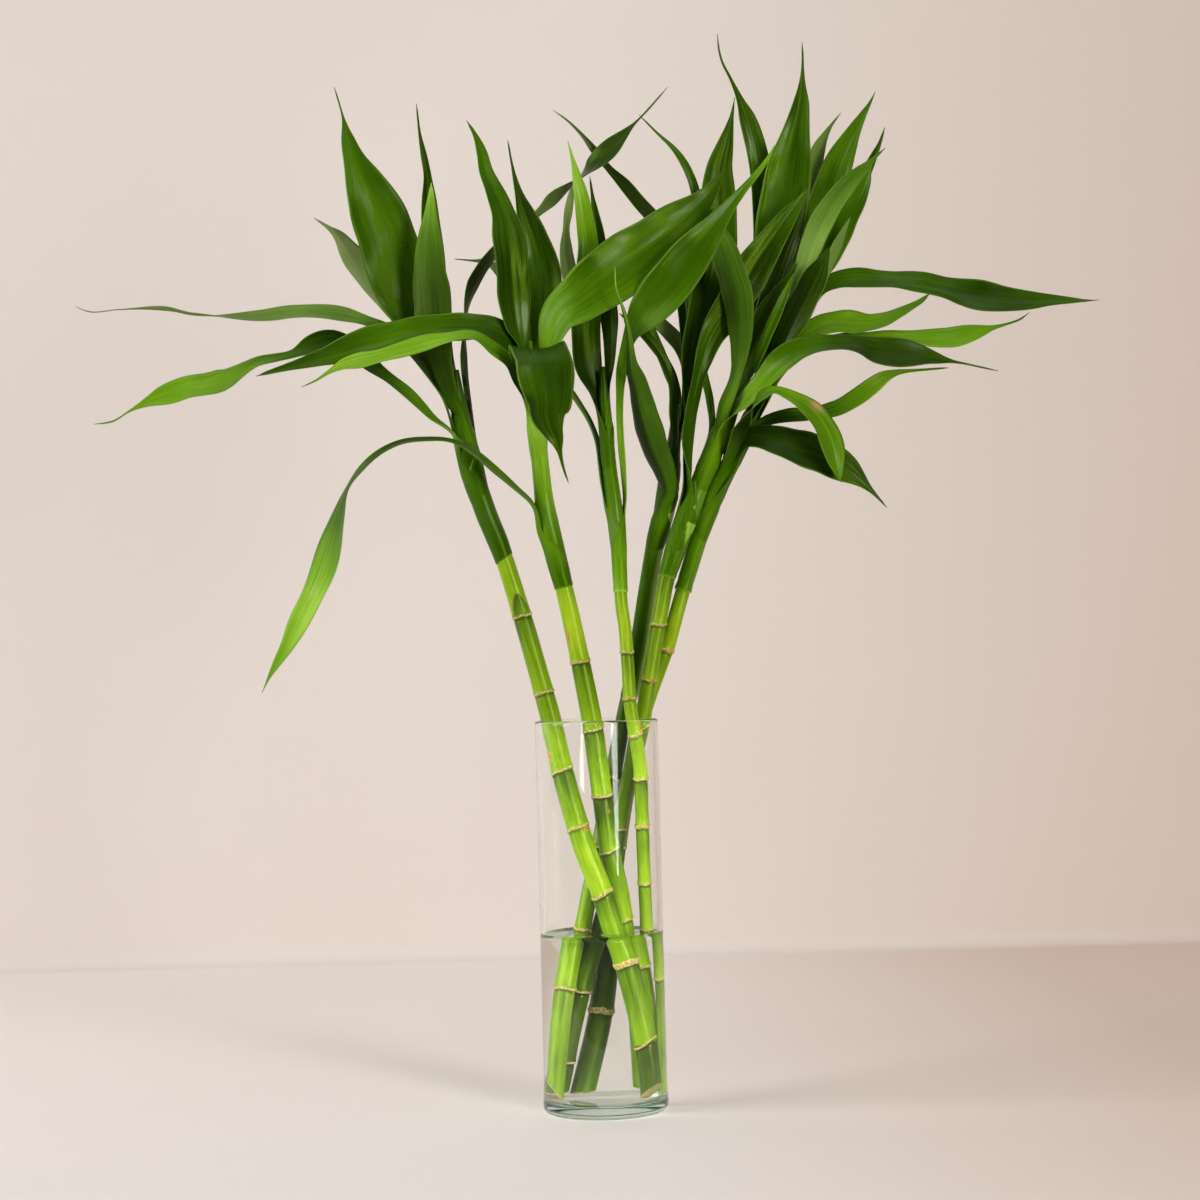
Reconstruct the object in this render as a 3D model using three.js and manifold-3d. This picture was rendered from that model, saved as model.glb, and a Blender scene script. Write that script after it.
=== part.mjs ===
// Lucky bamboo: six cut canes with their leafy tops, standing in water in a glass cylinder vase.
// Millimetres. +Z is up, -Y is the front, and the vase stands on Z = 0 round the Z axis.
import * as THREE from "three";
import { mergeVertices } from "three/addons/utils/BufferGeometryUtils.js";
import Module from "manifold-3d";

// Driving dimensions of the vase and the water.
const VASE_HEIGHT = 195;
const VASE_RADIUS = 30.75;
const FOOT_RADIUS = 31.25; // the heavy foot is a little wider than the wall above it
const FOOT_HEIGHT = 14;
const WALL = 2.5;
const FLOOR = 6;
const FOOT_ROUNDING = 3.4;
const INNER_ROUNDING = 1.2;
const WATER_LEVEL = 88.5;
const VASE_SIDES = 48;

// What touches in the real thing is kept this far apart.
const GAP = 0.3;

// Canes.
const CANE_SIDES = 10;
const RING_SWELL = 0.45; // how far the scar of a fallen leaf stands out
const RING_HALF_HEIGHT = 1.1;
const SHEATH_STEP = 0.5; // how far the lowest leaf sheath stands out from the cane
const CANE_SPACING = 16; // height between a cane's rings of points where it has no leaf scar

// Leaf blades.
const BLADE_THICKNESS = 0.75;
const STATION_SPACING = 14; // distance between the cross-sections of a blade
const FEWEST_STATIONS = 10;
const TIP_WIDTH = 0.9;
const FOLD = 10; // degrees that each half of a blade is folded up along its rib
const CLASP_FOLD = 26; // the same where the leaf holds its shoot
const CLASP_RUN = 9; // how far a leaf follows its shoot before it leaves it
const CLASP_DEPTH = 0.6; // how deep its foot is sunk in the shoot
const CLASP_SHARE = 0.22; // share of a leaf's length over which the hold opens out
const HOLD_SHARE = 0.9; // width of the hold, as a share of the width just above it
const PHASE_STEP = 0.37; // how far the ripple of one leaf is ahead of the next one's

// Points of the plant are noted as [right, up, back]: how far right of the vase's axis and how high they
// look from straight in front, against a plane through that axis, and how far behind the plane they lie.
const EYE = new THREE.Vector3(3.5, -1350, 231);

function seen([right, up, back]) {
  const onPlane = new THREE.Vector3(right, 0, up);
  return onPlane.sub(EYE).multiplyScalar(1 - back / EYE.y).add(EYE);
}

const mix = THREE.MathUtils.lerp;
const smooth = THREE.MathUtils.smoothstep;
const radians = THREE.MathUtils.degToRad;

// A value read from evenly spaced ones.
function along(values, t) {
  const place = t * (values.length - 1);
  const i = Math.min(Math.floor(place), values.length - 2);
  return values.length === 1 ? values[0] : mix(values[i], values[i + 1], place - i);
}

// A closed body through rings of points, all with the same count. turned(j) swaps the diagonal of strip j.
function loft(rings, cap, turned = () => false) {
  const count = rings[0].length;
  const positions = rings.flat().flatMap((p) => [p.x, p.y, p.z]);
  const index = [];
  for (let i = 0; i < rings.length - 1; i++) {
    for (let j = 0; j < count; j++) {
      const k = (j + 1) % count;
      const a = i * count + j;
      const b = i * count + k;
      const c = a + count;
      const d = b + count;
      index.push(...(turned(j) ? [a, b, c, b, d, c] : [a, b, d, a, d, c]));
    }
  }
  const last = (rings.length - 1) * count;
  for (const [a, b, c] of cap) {
    index.push(a, c, b);
    index.push(last + a, last + b, last + c);
  }
  const geometry = new THREE.BufferGeometry();
  geometry.setAttribute("position", new THREE.Float32BufferAttribute(positions, 3));
  geometry.setIndex(index);
  return geometry;
}

// ---------------------------------------------------------------- canes

// Each cane: its axis from the cut foot to the tip of the rolled shoot, its radius at heights, the heights
// of its leaf scars, and the height where the lowest sheath starts.
const CANES = {
  a: {
    axis: [
      [20, 5.9, -9], [19.5, 20, -9.5], [17.8, 35, -10], [15, 50, -10.5], [9.8, 75, -11.5], [6.2, 88, -12],
      [0.5, 109, -13], [-7, 130, -12.5], [-12.5, 150, -11], [-17.3, 170, -8.5], [-22, 193, -5],
      [-28.5, 220, -4], [-36.3, 250, -4], [-45, 280, -5], [-52.5, 300, -5], [-58.5, 320, -5],
      [-62.5, 340, -5], [-64.5, 355, -5], [-66, 372, -5],
    ],
    radius: [[0, 5.4], [150, 5.4], [200, 5], [276, 4.6], [300, 4.9], [325, 4.8], [345, 4], [372, 1.2]],
    rings: [35, 75, 109, 142, 170, 209, 247.5],
    sheath: 276,
  },
  b: {
    axis: [
      [14, 9.3, 12], [13.8, 30, 9], [13.5, 50, 6], [12.5, 75, 2], [11.5, 88, 0], [9, 109, -3],
      [5, 130, -5], [2.8, 150, -6], [0.6, 170, -6], [-2, 193, -6.5], [-6.8, 222, -7], [-12, 250, -8],
      [-18.5, 280, -9], [-22.5, 300, -9.5], [-24.5, 322, -10], [-26, 345, -10], [-27.5, 365, -10],
      [-28.5, 386, -10],
    ],
    radius: [[0, 5.1], [200, 5], [261, 4.5], [295, 4.8], [310, 4], [345, 3.6], [386, 1.2]],
    rings: [72, 95, 130, 157, 190, 224],
    sheath: 261,
  },
  c: {
    axis: [
      [22.3, 7.7, 6], [22.5, 30, 5], [22.6, 50, 4], [22.5, 88, 0], [22, 109, -3], [21.6, 130, -5],
      [21.3, 150, -6.5], [21, 170, -8], [18.6, 190, -10], [17.2, 203, -10], [16.6, 220, -9],
      [15.6, 240, -8], [14.2, 252, -7], [13.8, 265, -6], [13.4, 280, -5], [12, 300, -4], [10, 320, -3],
      [9, 340, -3], [8.2, 355, -3], [8, 372, -3],
    ],
    radius: [[0, 3.3], [258, 3.2], [300, 3.5], [330, 3], [355, 2], [372, 1]],
    rings: [65, 90, 113, 141.5, 165, 205, 228],
    sheath: 258,
  },
  d: {
    axis: [
      [-21.3, 6.7, -3], [-16.5, 50, -2], [-10, 88, 3], [-5.5, 109, 6], [4, 150, 12.6], [8.5, 170, 14.1],
      [13.5, 193, 14], [20.5, 222, 13], [27.5, 260, 11], [32, 280, 9], [36.5, 300, 7], [39.5, 316, 6],
      [42.5, 335, 6], [44.5, 352, 6],
    ],
    radius: [[0, 4.3], [205, 4.1], [300, 3.7], [316, 3.3], [335, 2.2], [352, 1]],
    rings: [62, 90, 130, 165],
    sheath: 205,
  },
  e: {
    axis: [
      [-17, 8.6, 9], [-10.5, 50, 7], [-2, 88, 8], [4, 109, 9], [12, 150, 5], [17.5, 172, 1],
      [23, 193, -2.5], [26.4, 212, -3], [30, 230, -3], [35, 250, -3], [39, 265, -3], [44, 282, -2],
      [50, 297, -1], [58, 316, 0], [66, 335, 0], [72, 350, 0], [76.5, 366, 0],
    ],
    radius: [[0, 4.1], [250, 3.9], [280, 3.8], [316, 4], [335, 3.7], [350, 2.6], [366, 1.1]],
    rings: [60, 100, 140, 185, 214, 241.5],
    sheath: 265,
  },
  f: {
    axis: [
      [-8, 8.9, 10], [-1, 50, 12], [2.5, 88, 17], [6, 109, 18], [13, 150, 14.5], [17.5, 172, 10.8],
      [22.3, 193, 7.6], [27, 207, 6], [33, 222, 5.2], [37, 232, 4], [41, 243, 2], [46.5, 259, 2],
      [51, 272, 2], [57.5, 290, 2], [65, 309, 1], [73, 326, 0], [79.5, 340, 0], [84, 354, 0],
      [86, 362, 0],
    ],
    radius: [[0, 4.1], [200, 4], [258, 3.7], [300, 3.9], [326, 3.6], [340, 3], [354, 1.8], [362, 1.1]],
    rings: [49.5, 92, 130, 165, 189, 229],
    sheath: 258,
  },
};

for (const cane of Object.values(CANES)) {
  cane.curve = new THREE.CatmullRomCurve3(cane.axis.map(seen));
}

// The share of a cane's axis curve where it reaches a height.
function shareAt(cane, height) {
  let low = 0;
  let high = 1;
  while (high - low > 1e-5) {
    const middle = (low + high) / 2;
    if (cane.curve.getPoint(middle).z < height) low = middle;
    else high = middle;
  }
  return low;
}

// Radius without rings: straight between the noted heights, with the sheath's step.
function plainRadius(cane, height) {
  const noted = cane.radius;
  let i = 0;
  while (i < noted.length - 2 && height > noted[i + 1][0]) i++;
  const share = THREE.MathUtils.clamp((height - noted[i][0]) / (noted[i + 1][0] - noted[i][0]), 0, 1);
  return mix(noted[i][1], noted[i + 1][1], share) + (height > cane.sheath ? SHEATH_STEP : 0);
}

// The heights where a cane gets a ring of points, each with its radius.
function caneStations(cane) {
  const foot = cane.curve.getPoint(0).z;
  const tip = cane.curve.getPoint(1).z;
  const marks = [[foot, 0], [tip, 0]];
  for (const ring of cane.rings) {
    marks.push([ring - RING_HALF_HEIGHT, 0], [ring, RING_SWELL], [ring + RING_HALF_HEIGHT, 0]);
  }
  marks.push([cane.sheath - GAP / 2, 0], [cane.sheath + GAP / 2, 0]);
  for (let height = foot + CANE_SPACING; height < tip - 4; height += CANE_SPACING) {
    if (marks.every(([h]) => Math.abs(h - height) > 5)) marks.push([height, 0]);
  }
  marks.sort((p, q) => p[0] - q[0]);
  return marks.map(([height, swell]) => [height, plainRadius(cane, height) + swell]);
}

// Rings round a cane's axis through stations, grown by extra all round and at both ends.
function tubeGeometry(cane, stations, extra = 0) {
  const rings = stations.map(([height, radius], i) => {
    const share = shareAt(cane, height);
    const tangent = cane.curve.getTangent(share);
    const end = (i === stations.length - 1) - (i === 0);
    const centre = cane.curve.getPoint(share).addScaledVector(tangent, extra * end);
    const side = new THREE.Vector3(0, 1, 0).cross(tangent).normalize();
    const back = tangent.clone().cross(side);
    return Array.from({ length: CANE_SIDES }, (_, j) => {
      const angle = (2 * Math.PI * j) / CANE_SIDES;
      const reach = radius + extra;
      return centre
        .clone()
        .addScaledVector(side, reach * Math.cos(angle))
        .addScaledVector(back, reach * Math.sin(angle));
    });
  });
  const cap = Array.from({ length: CANE_SIDES - 2 }, (_, j) => [0, j + 1, j + 2]);
  return loft(rings, cap);
}

// The bare cane, up to the lowest sheath.
function caneGeometry(cane, extra = 0) {
  const bare = caneStations(cane).filter(([height]) => height < cane.sheath);
  return tubeGeometry(cane, bare, extra);
}

// The sheathed shoot above it, which carries the leaves.
function shootGeometry(cane) {
  return tubeGeometry(cane, caneStations(cane).filter(([height]) => height > cane.sheath));
}

// ---------------------------------------------------------------- leaves

// Each leaf grows from its cane's shoot at a height, on one side of it in degrees (0 right, 90 back,
// 180 left, 270 front), and then follows its rib points, each noted as [right, up, back, width seen from
// the front]. turn lists how far the upper face is turned from facing the front, in degrees round the rib;
// a sideways leaf counts it from facing right. wave is how far the edges ripple, in millimetres, and fold
// how far each half is folded up, in degrees.
const LEAVES = {
  a1: {
    height: 347, side: 178, turn: [-25, -15, -15, -20], wave: 1.6,
    rib: [
      [-74.5, 371, -3, 8], [-80, 386, 1, 15], [-87, 402, 3, 26], [-94.5, 422, 4, 31],
      [-99.5, 440, 4, 31], [-104.5, 454, 3, 27], [-110, 468, 1, 19], [-114.5, 480, 0, 10.5],
      [-117.2, 490, 0, 6], [-119, 500, 0, 1.6], [-123, 515.5, 0, 0.9],
    ],
  },
  a2: {
    height: 340, side: 270, turn: [-165, -165, -160], wave: 0.8,
    rib: [
      [-68, 356, -12, 8], [-73, 372, -14, 12], [-76.5, 390, -15, 18], [-77, 405, -15, 19.5],
      [-78, 420, -14, 18], [-77.8, 432, -13.5, 14.5], [-77.3, 443, -13, 10], [-76.5, 453, -12, 6],
      [-75.5, 466, -12, 0.9],
    ],
  },
  a3: {
    height: 353, side: 85, turn: [0, -10, -30], wave: 0.8,
    rib: [
      [-68.5, 372, 5, 6], [-73, 395, 9, 11], [-75.5, 420, 9, 12.5], [-76.3, 440, 9, 11],
      [-77, 456, 8.5, 8], [-77.6, 470, 8, 4.2], [-79.3, 481, 7, 3], [-80.8, 491, 6, 1.4],
      [-82, 506, 5, 0.9],
    ],
  },
  a4: {
    height: 338, side: 140, turn: [-145, -150, -160], wave: 1.2,
    rib: [
      [-74, 366, 7, 6], [-82, 384, 10, 9], [-92, 400, 13, 12], [-103, 413, 14, 14],
      [-112, 424, 13.5, 14.5], [-118.5, 433.5, 12, 10], [-122.5, 440, 11, 6],
      [-127.5, 444.5, 10, 2.4], [-135, 450, 8, 0.9],
    ],
  },
  a5: {
    height: 333, side: 195, turn: [-60, -45, -50, -120, -60], wave: 0.6,
    rib: [
      [-72, 356, -9, 5], [-77.5, 366, -10, 5.5], [-86, 379, -11.5, 6.5], [-98, 391, -12, 7],
      [-110, 397, -12, 7], [-121.7, 400.3, -12, 9.6], [-133, 402, -12, 9.3],
      [-146, 402.3, -12, 7.5], [-160, 401, -11, 6.6], [-179, 401.5, -10, 4],
      [-197, 403.3, -8, 1.4], [-210, 406, -8, 2.2], [-233.5, 406.5, -8, 1.2],
      [-248, 405.6, -8, 1.2], [-255, 408.5, -8, 0.9],
    ],
  },
  a6: {
    height: 320, side: 205, turn: [-50, -45, -40, -40, -35], wave: 1.2,
    rib: [
      [-68, 339, -11, 7], [-75, 347.3, -12, 7.5], [-82, 354.8, -13, 8.5], [-89, 361.2, -14, 9],
      [-98, 368, -13.5, 9], [-108, 375, -13, 9.5], [-118, 383, -12, 10], [-128, 387.5, -11.5, 10],
      [-138, 385.5, -12, 9], [-147, 381.8, -12, 5.5], [-156, 380, -12, 6], [-165, 378, -12, 7.5],
      [-174, 373, -12, 11], [-182, 368.5, -13, 13.4], [-191, 366.5, -12, 12.8],
      [-200, 365.4, -11.5, 13], [-207, 363.5, -11, 12], [-213.5, 361.8, -10, 9.5],
      [-220, 359.5, -9.5, 5.5], [-229.5, 355.4, -9, 1.4], [-238, 350.5, -8, 1.2],
      [-247.4, 349.3, -7, 0.9],
    ],
  },
  a7: {
    height: 326, side: 30, turn: [50, 140, 145, 30, 20], wave: 0.4,
    rib: [
      [-58.5, 350, -1, 4.5], [-61, 372, 0, 4], [-60.5, 392, 1, 4.5], [-58, 408, 4, 5.5],
      [-53, 419, 7, 6], [-46, 428.5, 10, 6], [-34, 439.5, 12, 5], [-22, 449.5, 12, 3.5],
      [-13, 457, 11, 6.5], [-3, 464.5, 10, 7], [4, 470, 9, 9], [10.5, 476.5, 9, 10.5],
      [16, 482, 9, 9.5], [21.5, 487.5, 9, 5.5], [27, 493, 9, 1.6], [35, 501, 9, 1.1],
      [44, 511, 9, 0.9],
    ],
  },
  b1: {
    height: 366, side: 200, turn: [-30, -25, -30], wave: 0.8,
    rib: [
      [-32.3, 380, -15, 7], [-34.3, 390, -14, 12], [-36, 405, -15, 16.5], [-36.8, 420, -15, 17],
      [-37.6, 434, -15, 16.5], [-40, 449, -13, 12.5], [-43, 461, -12, 9], [-46.3, 471, -10, 5.5],
      [-50, 480, -9, 3.2], [-53.5, 488, -8, 1.6], [-57, 497, -7, 0.9],
    ],
  },
  b2: {
    height: 366, side: 40, turn: [15, 0, -10], wave: 1,
    rib: [
      [-23.5, 384, -4, 9], [-21, 398, -3, 15], [-20, 412, -3, 18.5], [-22, 427, -3, 17],
      [-25.5, 440, -3, 13], [-29, 450, -3.5, 9], [-31.7, 459, -4, 4.5], [-33.6, 467, -4, 2.2],
      [-35.2, 476, -4, 1.2], [-36.7, 486.3, -4, 0.9],
    ],
  },
  b3: {
    height: 352, side: 325, turn: [40, 0, -5, 5], wave: 1.4,
    rib: [
      [-20, 374, -17, 8], [-17.8, 385, -20, 12], [-12.5, 398, -24, 21], [-2, 406, -27, 25],
      [13, 417, -25.7, 31], [28, 427, -23.3, 30], [42, 438, -21, 25], [54, 447.5, -17.5, 17],
      [63, 456.5, -17, 9], [72, 469, -14, 0.9],
    ],
  },
  b4: {
    height: 346, side: 270, turn: [-90, -90, -85], wave: 1.2, sideways: true, fold: 6,
    rib: [
      [-26, 362, -20, 13], [-26.5, 373, -25, 22], [-25.3, 381, -31, 27], [-22, 376, -38, 28],
      [-20, 363, -41, 26.5], [-19.3, 354, -42, 23], [-20, 348, -41.5, 17.5],
      [-18.3, 341, -40.5, 11.5], [-16, 335, -39, 7], [-14.8, 329.5, -38, 2.8],
      [-13, 321, -37, 1.3], [-10.7, 313.5, -36, 0.9],
    ],
  },
  b5: {
    height: 352, side: 180, turn: [-40, -20, -20, -20], wave: 1,
    rib: [
      [-32.5, 372, -13, 9], [-38, 384, -16, 12], [-46, 390.5, -19, 13], [-57, 392.3, -21, 14],
      [-71.5, 392.5, -22, 14], [-86, 392, -23, 14.5], [-100, 388.5, -23, 16],
      [-114.5, 384.5, -22, 15.5], [-121.7, 382.3, -21.5, 13], [-128.8, 380.4, -21, 10],
      [-136, 378.7, -20, 7.8], [-143.2, 376.8, -19, 5.8], [-150.3, 375.1, -18, 4.4],
      [-157.5, 373.3, -18, 2.8], [-165.8, 371.2, -17, 0.9],
    ],
  },
  b6: {
    height: 340, side: 205, turn: [-45, -30, -30], wave: 0.6,
    rib: [
      [-34.5, 364, -18, 6.5], [-38.5, 374.5, -24, 7], [-46, 381, -27, 7], [-56, 386.5, -29, 6],
      [-71.5, 385.2, -30, 6.5], [-86, 381.5, -30, 6.5], [-100, 378, -30, 6],
      [-107.5, 376, -29, 6.5], [-114.5, 374.6, -28, 7], [-121.7, 373.3, -27, 4.2],
      [-129, 370.8, -25, 1.8], [-136, 368.2, -24, 1.2], [-143.2, 365.2, -23, 0.9],
    ],
  },
  b7: {
    height: 281, side: 195, turn: [-60, -60, -50, -30, -25], wave: 1,
    rib: [
      [-29, 302, -14, 8], [-38, 311.5, -17, 6.5], [-48, 321, -19, 5.5], [-58, 330, -20, 4.5],
      [-69, 336, -20, 3.4], [-82, 338, -20, 3.2], [-94, 336.3, -19.5, 3.8],
      [-105, 331, -18.5, 4.5], [-114, 322.5, -17, 5.5], [-120.5, 311, -15.5, 6.5],
      [-125.5, 298, -14, 9.5], [-130.5, 286, -13, 12.5], [-136.5, 273, -12.5, 15],
      [-143, 259, -12, 16], [-149.5, 246.5, -11.5, 14], [-155, 235.5, -11, 9.5],
      [-159.5, 227, -10.5, 4.5], [-163.5, 219, -10, 1.6], [-166.8, 212.5, -10, 0.9],
    ],
  },
  b8: {
    height: 372, side: 120, turn: [-40, -50],
    rib: [
      [-30.5, 392, -3, 5], [-36, 408, 5, 6], [-42, 419, 14, 6], [-48.5, 425, 19, 4],
      [-56, 426.3, 21, 1.6], [-65, 427.5, 22, 0.9],
    ],
  },
  c1: {
    height: 288, side: 10, turn: [40, 28, 4, 8, 12], wave: 1.2,
    rib: [
      [17.8, 306, -4, 4.5], [17.2, 320, -5, 4], [16.2, 335, -7, 3.8], [16, 350, -9, 3.8],
      [17, 365, -12, 4], [19.3, 377, -15, 5], [23.5, 388.5, -22, 9], [29.5, 397, -28.3, 18],
      [37, 405.5, -32, 22.5], [45, 414.8, -33.5, 23], [52.3, 424, -32.5, 21.5],
      [59.5, 432.5, -32, 16.5], [66.3, 441, -30, 11], [73.5, 450, -27.5, 7],
      [80.8, 458.5, -26, 4.5], [88, 466.5, -24, 3.2], [93.5, 474, -22.5, 1.8],
      [97, 480.5, -22, 0.9],
    ],
  },
  c2: {
    height: 334, side: 190, turn: [-30, -10, 0, -20], wave: 0.6,
    rib: [
      [3.5, 358, -2, 9], [0, 372, 0, 14], [-0.5, 388, 1.5, 15], [0.3, 404, 2, 15],
      [1.5, 420, 2, 12.5], [2.3, 432, 2, 10.5], [1, 445, 1.5, 9.3], [-0.3, 455, 1, 8],
      [-2, 464, 0.5, 5.6], [-3.8, 473, 0, 2.9], [-5.3, 479.5, 0, 1.4], [-6.6, 485.5, 0, 0.9],
    ],
  },
  c3: {
    height: 352, side: 30, turn: [10, 0], wave: 0.4,
    rib: [
      [11.5, 372, 1, 5], [12, 395, 5, 9], [9.5, 418, 7, 8.5], [7.8, 436, 7, 6.5], [6, 450, 7, 3.6],
      [4.8, 459, 7, 1.6], [4, 467, 7, 0.9],
    ],
  },
  c4: {
    height: 294, side: 175, turn: [-50, -50],
    rib: [
      [5.5, 322, -1, 3.5], [4.3, 333, 0, 3.2], [0.8, 343.5, 1, 3.2], [-3.8, 351.8, 2, 3.2],
      [-9, 359.5, 3, 4], [-17, 367, 4.5, 6], [-27, 373.5, 6, 6], [-38, 378.5, 7, 3],
      [-47, 381.5, 7.5, 0.9],
    ],
  },
  c5: {
    height: 344, side: 110, turn: [-175, -175, -170], wave: 0.3,
    rib: [
      [4.5, 366, 7, 4], [0.5, 382, 13, 6], [-4, 400, 16, 8.5], [-7.5, 418, 19, 8],
      [-9, 431, 20, 7], [-8.6, 441, 20, 3.5], [-7.3, 450, 20, 4.5], [-6, 457, 20, 3.5],
      [-5, 463.5, 20, 0.9],
    ],
  },
  d1: {
    height: 292, side: 250, turn: [-145, -140, -130], wave: 0.8, fold: 26,
    rib: [
      [38.5, 308, -1, 9], [36, 318, -3, 12], [31, 328, -5, 13.5], [27.5, 338, -8, 13],
      [25, 349, -12, 12], [23.4, 359, -17, 10.5], [22.3, 369, -22.5, 8], [21.8, 379, -29, 4.5],
      [21, 389, -34, 2.2], [18.8, 400, -38, 1.4], [15.5, 411, -39, 1.2], [15.5, 421.5, -38.5, 0.9],
    ],
  },
  d2: {
    height: 328, side: 0, turn: [10, 10, 20, -20], wave: 0.5,
    rib: [
      [49, 350, 5, 5], [50.5, 370, 6, 6], [50.3, 392, 8, 7], [48.3, 412, 11.5, 8.5],
      [44, 429, 14.5, 9.5], [37, 443, 16, 9.5], [29, 453.5, 16.5, 9], [21, 462.5, 17, 8],
      [13.5, 471, 18, 6], [7, 479.5, 18, 4], [1, 487.5, 17, 2], [-6, 495, 16, 1.2],
      [-13.5, 501, 15, 0.9],
    ],
  },
  d3: {
    height: 312, side: 215, turn: [-40, -30], wave: 0.4,
    rib: [
      [40, 332, 0, 5], [39.8, 348, -1.5, 6], [38, 362, -1.5, 7], [34, 374.5, -1, 7],
      [27, 386.5, -1, 5.5], [17, 398, -1, 0.9],
    ],
  },
  d4: {
    height: 316, side: 140, turn: [-20, -30], wave: 0.4,
    rib: [
      [43.5, 340, 9.5, 4.5], [43.8, 358, 10.5, 6], [40.5, 376, 9.5, 7], [34, 391, 8, 6],
      [24, 408, 6.5, 0.9],
    ],
  },
  d5: {
    height: 322, side: 60, turn: [20, 150, 155], wave: 0.4,
    rib: [
      [48.5, 350, 15, 5], [51, 368, 18.5, 7], [47.5, 381, 17.5, 8.5], [39, 391, 15.5, 8],
      [31, 397.5, 13.5, 5], [23, 404, 12, 0.9],
    ],
  },
  e1: {
    height: 288, side: 170, turn: [-35, -20, -10, -10], wave: 1,
    rib: [
      [47.5, 312, -4, 7], [49, 328, -4, 8], [50, 345, -4, 9], [51.5, 362, -3, 11],
      [54, 380, -1, 14], [58.5, 398, 1, 17], [63.5, 416, 2, 19.5], [66.5, 432, 4, 20.5],
      [67.5, 447, 5, 19.5], [68, 459, 5, 17], [69, 470, 5, 13.5], [71.8, 480, 5, 9.5],
      [74.3, 489, 5, 5], [76, 496, 5, 2], [77.7, 505, 5, 0.9],
    ],
  },
  e2: {
    height: 296, side: 215, turn: [-50, -20, 0, 10], wave: 1.2,
    rib: [
      [49.8, 316, -7, 8], [51.5, 334, -9, 10], [54.5, 351, -11, 12], [59, 369, -12, 15],
      [65.5, 386, -12, 17.5], [73, 400, -12, 19.5], [81, 413, -11.5, 19], [89, 425, -11, 16.5],
      [96.5, 435.5, -10, 13], [103, 444.5, -9, 9], [108.5, 451.5, -8, 4.5], [113.7, 459, -7, 0.9],
    ],
  },
  e3: {
    height: 310, side: 150, turn: [-40, -20, 0, -30], wave: 0.3,
    rib: [
      [58.3, 338, 3, 4], [59.3, 353, 3.5, 4], [57.6, 370, 4, 4.5], [57, 390, 6, 6],
      [59, 410, 8, 8], [60.5, 428, 9.5, 9], [59.5, 443, 10, 8], [57.3, 455, 10, 5.5],
      [54.8, 464.5, 10, 4.5], [51.3, 472.5, 9.5, 4], [46, 480.3, 8, 2.8], [38.5, 487.8, 6, 1.5],
      [29.5, 497.5, 3, 0.9],
    ],
  },
  e4: {
    height: 328, side: 230, turn: [-150, -160, -170], wave: 0.8,
    rib: [
      [68, 350, -9, 7], [72.3, 363, -12.5, 8.5], [75.5, 377, -17, 10.5], [77, 391, -20, 13],
      [76, 405, -21, 15], [73, 418, -20.5, 15], [69.5, 430, -19.5, 12.5], [66, 440, -18, 8],
      [62.5, 449, -16.5, 3.5], [58.5, 459, -15, 0.9],
    ],
  },
  e5: {
    height: 338, side: 280, turn: [40, 20, 15], wave: 0.5,
    rib: [
      [75, 355, -6, 6], [80, 369, -7, 9], [85.5, 383, -8, 11.5], [91.5, 395.5, -9, 11.5],
      [97.5, 405.5, -9, 8.5], [102.5, 413.5, -9, 4], [107, 421, -9, 0.9],
    ],
  },
  e6: {
    height: 342, side: 350, turn: [30, 20, 15], wave: 0.5,
    rib: [
      [81.5, 374, -2.5, 5.5], [87.5, 391, -2, 8], [93.5, 407, -2, 10.5], [99.5, 422, -2, 12],
      [105, 436, -2, 10.5], [109.3, 447.5, -2, 6], [111.8, 455, -1.5, 2.5], [113.5, 462, -1, 0.9],
    ],
  },
  e7: {
    height: 346, side: 110, turn: [0, 0, -20], wave: 0.8,
    rib: [
      [77, 370, 9, 5.5], [83, 392, 12, 8], [88, 412, 14, 11], [90.5, 432, 14, 12],
      [91, 450, 13.5, 12], [90, 464, 12.5, 11.5], [88.3, 476, 11.5, 11], [86, 486, 10.5, 10.3],
      [83.3, 495, 10, 8.5], [80.8, 502, 9.5, 5], [78.3, 508.5, 9, 2.8], [75.3, 515.5, 8.5, 1.5],
      [72, 522.5, 8, 1.2], [70.3, 530, 7.5, 1], [70, 537, 7, 0.9],
    ],
  },
  e8: {
    height: 352, side: 50, turn: [15, 5, 0], wave: 1.2,
    rib: [
      [81, 374, 4, 7], [86, 388, 5, 12], [90.5, 401, 5, 16], [94.5, 415, 6, 21],
      [98, 429, 6, 25.5], [99.8, 441, 6, 26.5], [101.3, 452, 5.5, 26], [103.2, 463, 5, 24],
      [105, 472.5, 5, 21], [107, 482, 4.5, 16.5], [109, 491.5, 4, 12.5], [110.8, 501, 4, 8.5],
      [111.6, 510, 3.5, 3.8], [112.1, 518, 3, 1.6], [112.3, 525, 3, 1.1], [112.2, 532, 3, 0.9],
    ],
  },
  e9: {
    height: 340, side: 75, turn: [175, 170, 160], wave: 0.4,
    rib: [
      [81, 368, 13, 5], [90.5, 390, 18, 6], [99, 412, 20, 7.5], [106, 432, 21, 8.5],
      [111.5, 450, 21, 9.5], [115, 463, 20.5, 10], [117.3, 472, 20, 9], [119.7, 479, 19, 7],
      [122.5, 484.5, 18.5, 4], [126, 490, 18, 1.6], [130.7, 495.8, 17, 0.9],
    ],
  },
  e10: {
    height: 324, side: 285, turn: [40, 25, 30, 35, 40], wave: 0.8,
    rib: [
      [72, 345, -7, 8], [79, 352.5, -12, 9], [87, 361, -16, 10], [96, 369.5, -21, 10.5],
      [106, 376, -23, 10.2], [117, 379.6, -22.5, 9.4], [128, 380, -20, 9],
      [137, 378.5, -19.5, 10.8], [145, 375.5, -18.5, 15], [153, 374, -18, 15.8],
      [161, 373.3, -17, 13.3], [169, 372.2, -16, 9.7], [176, 370.6, -15, 6.2],
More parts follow.
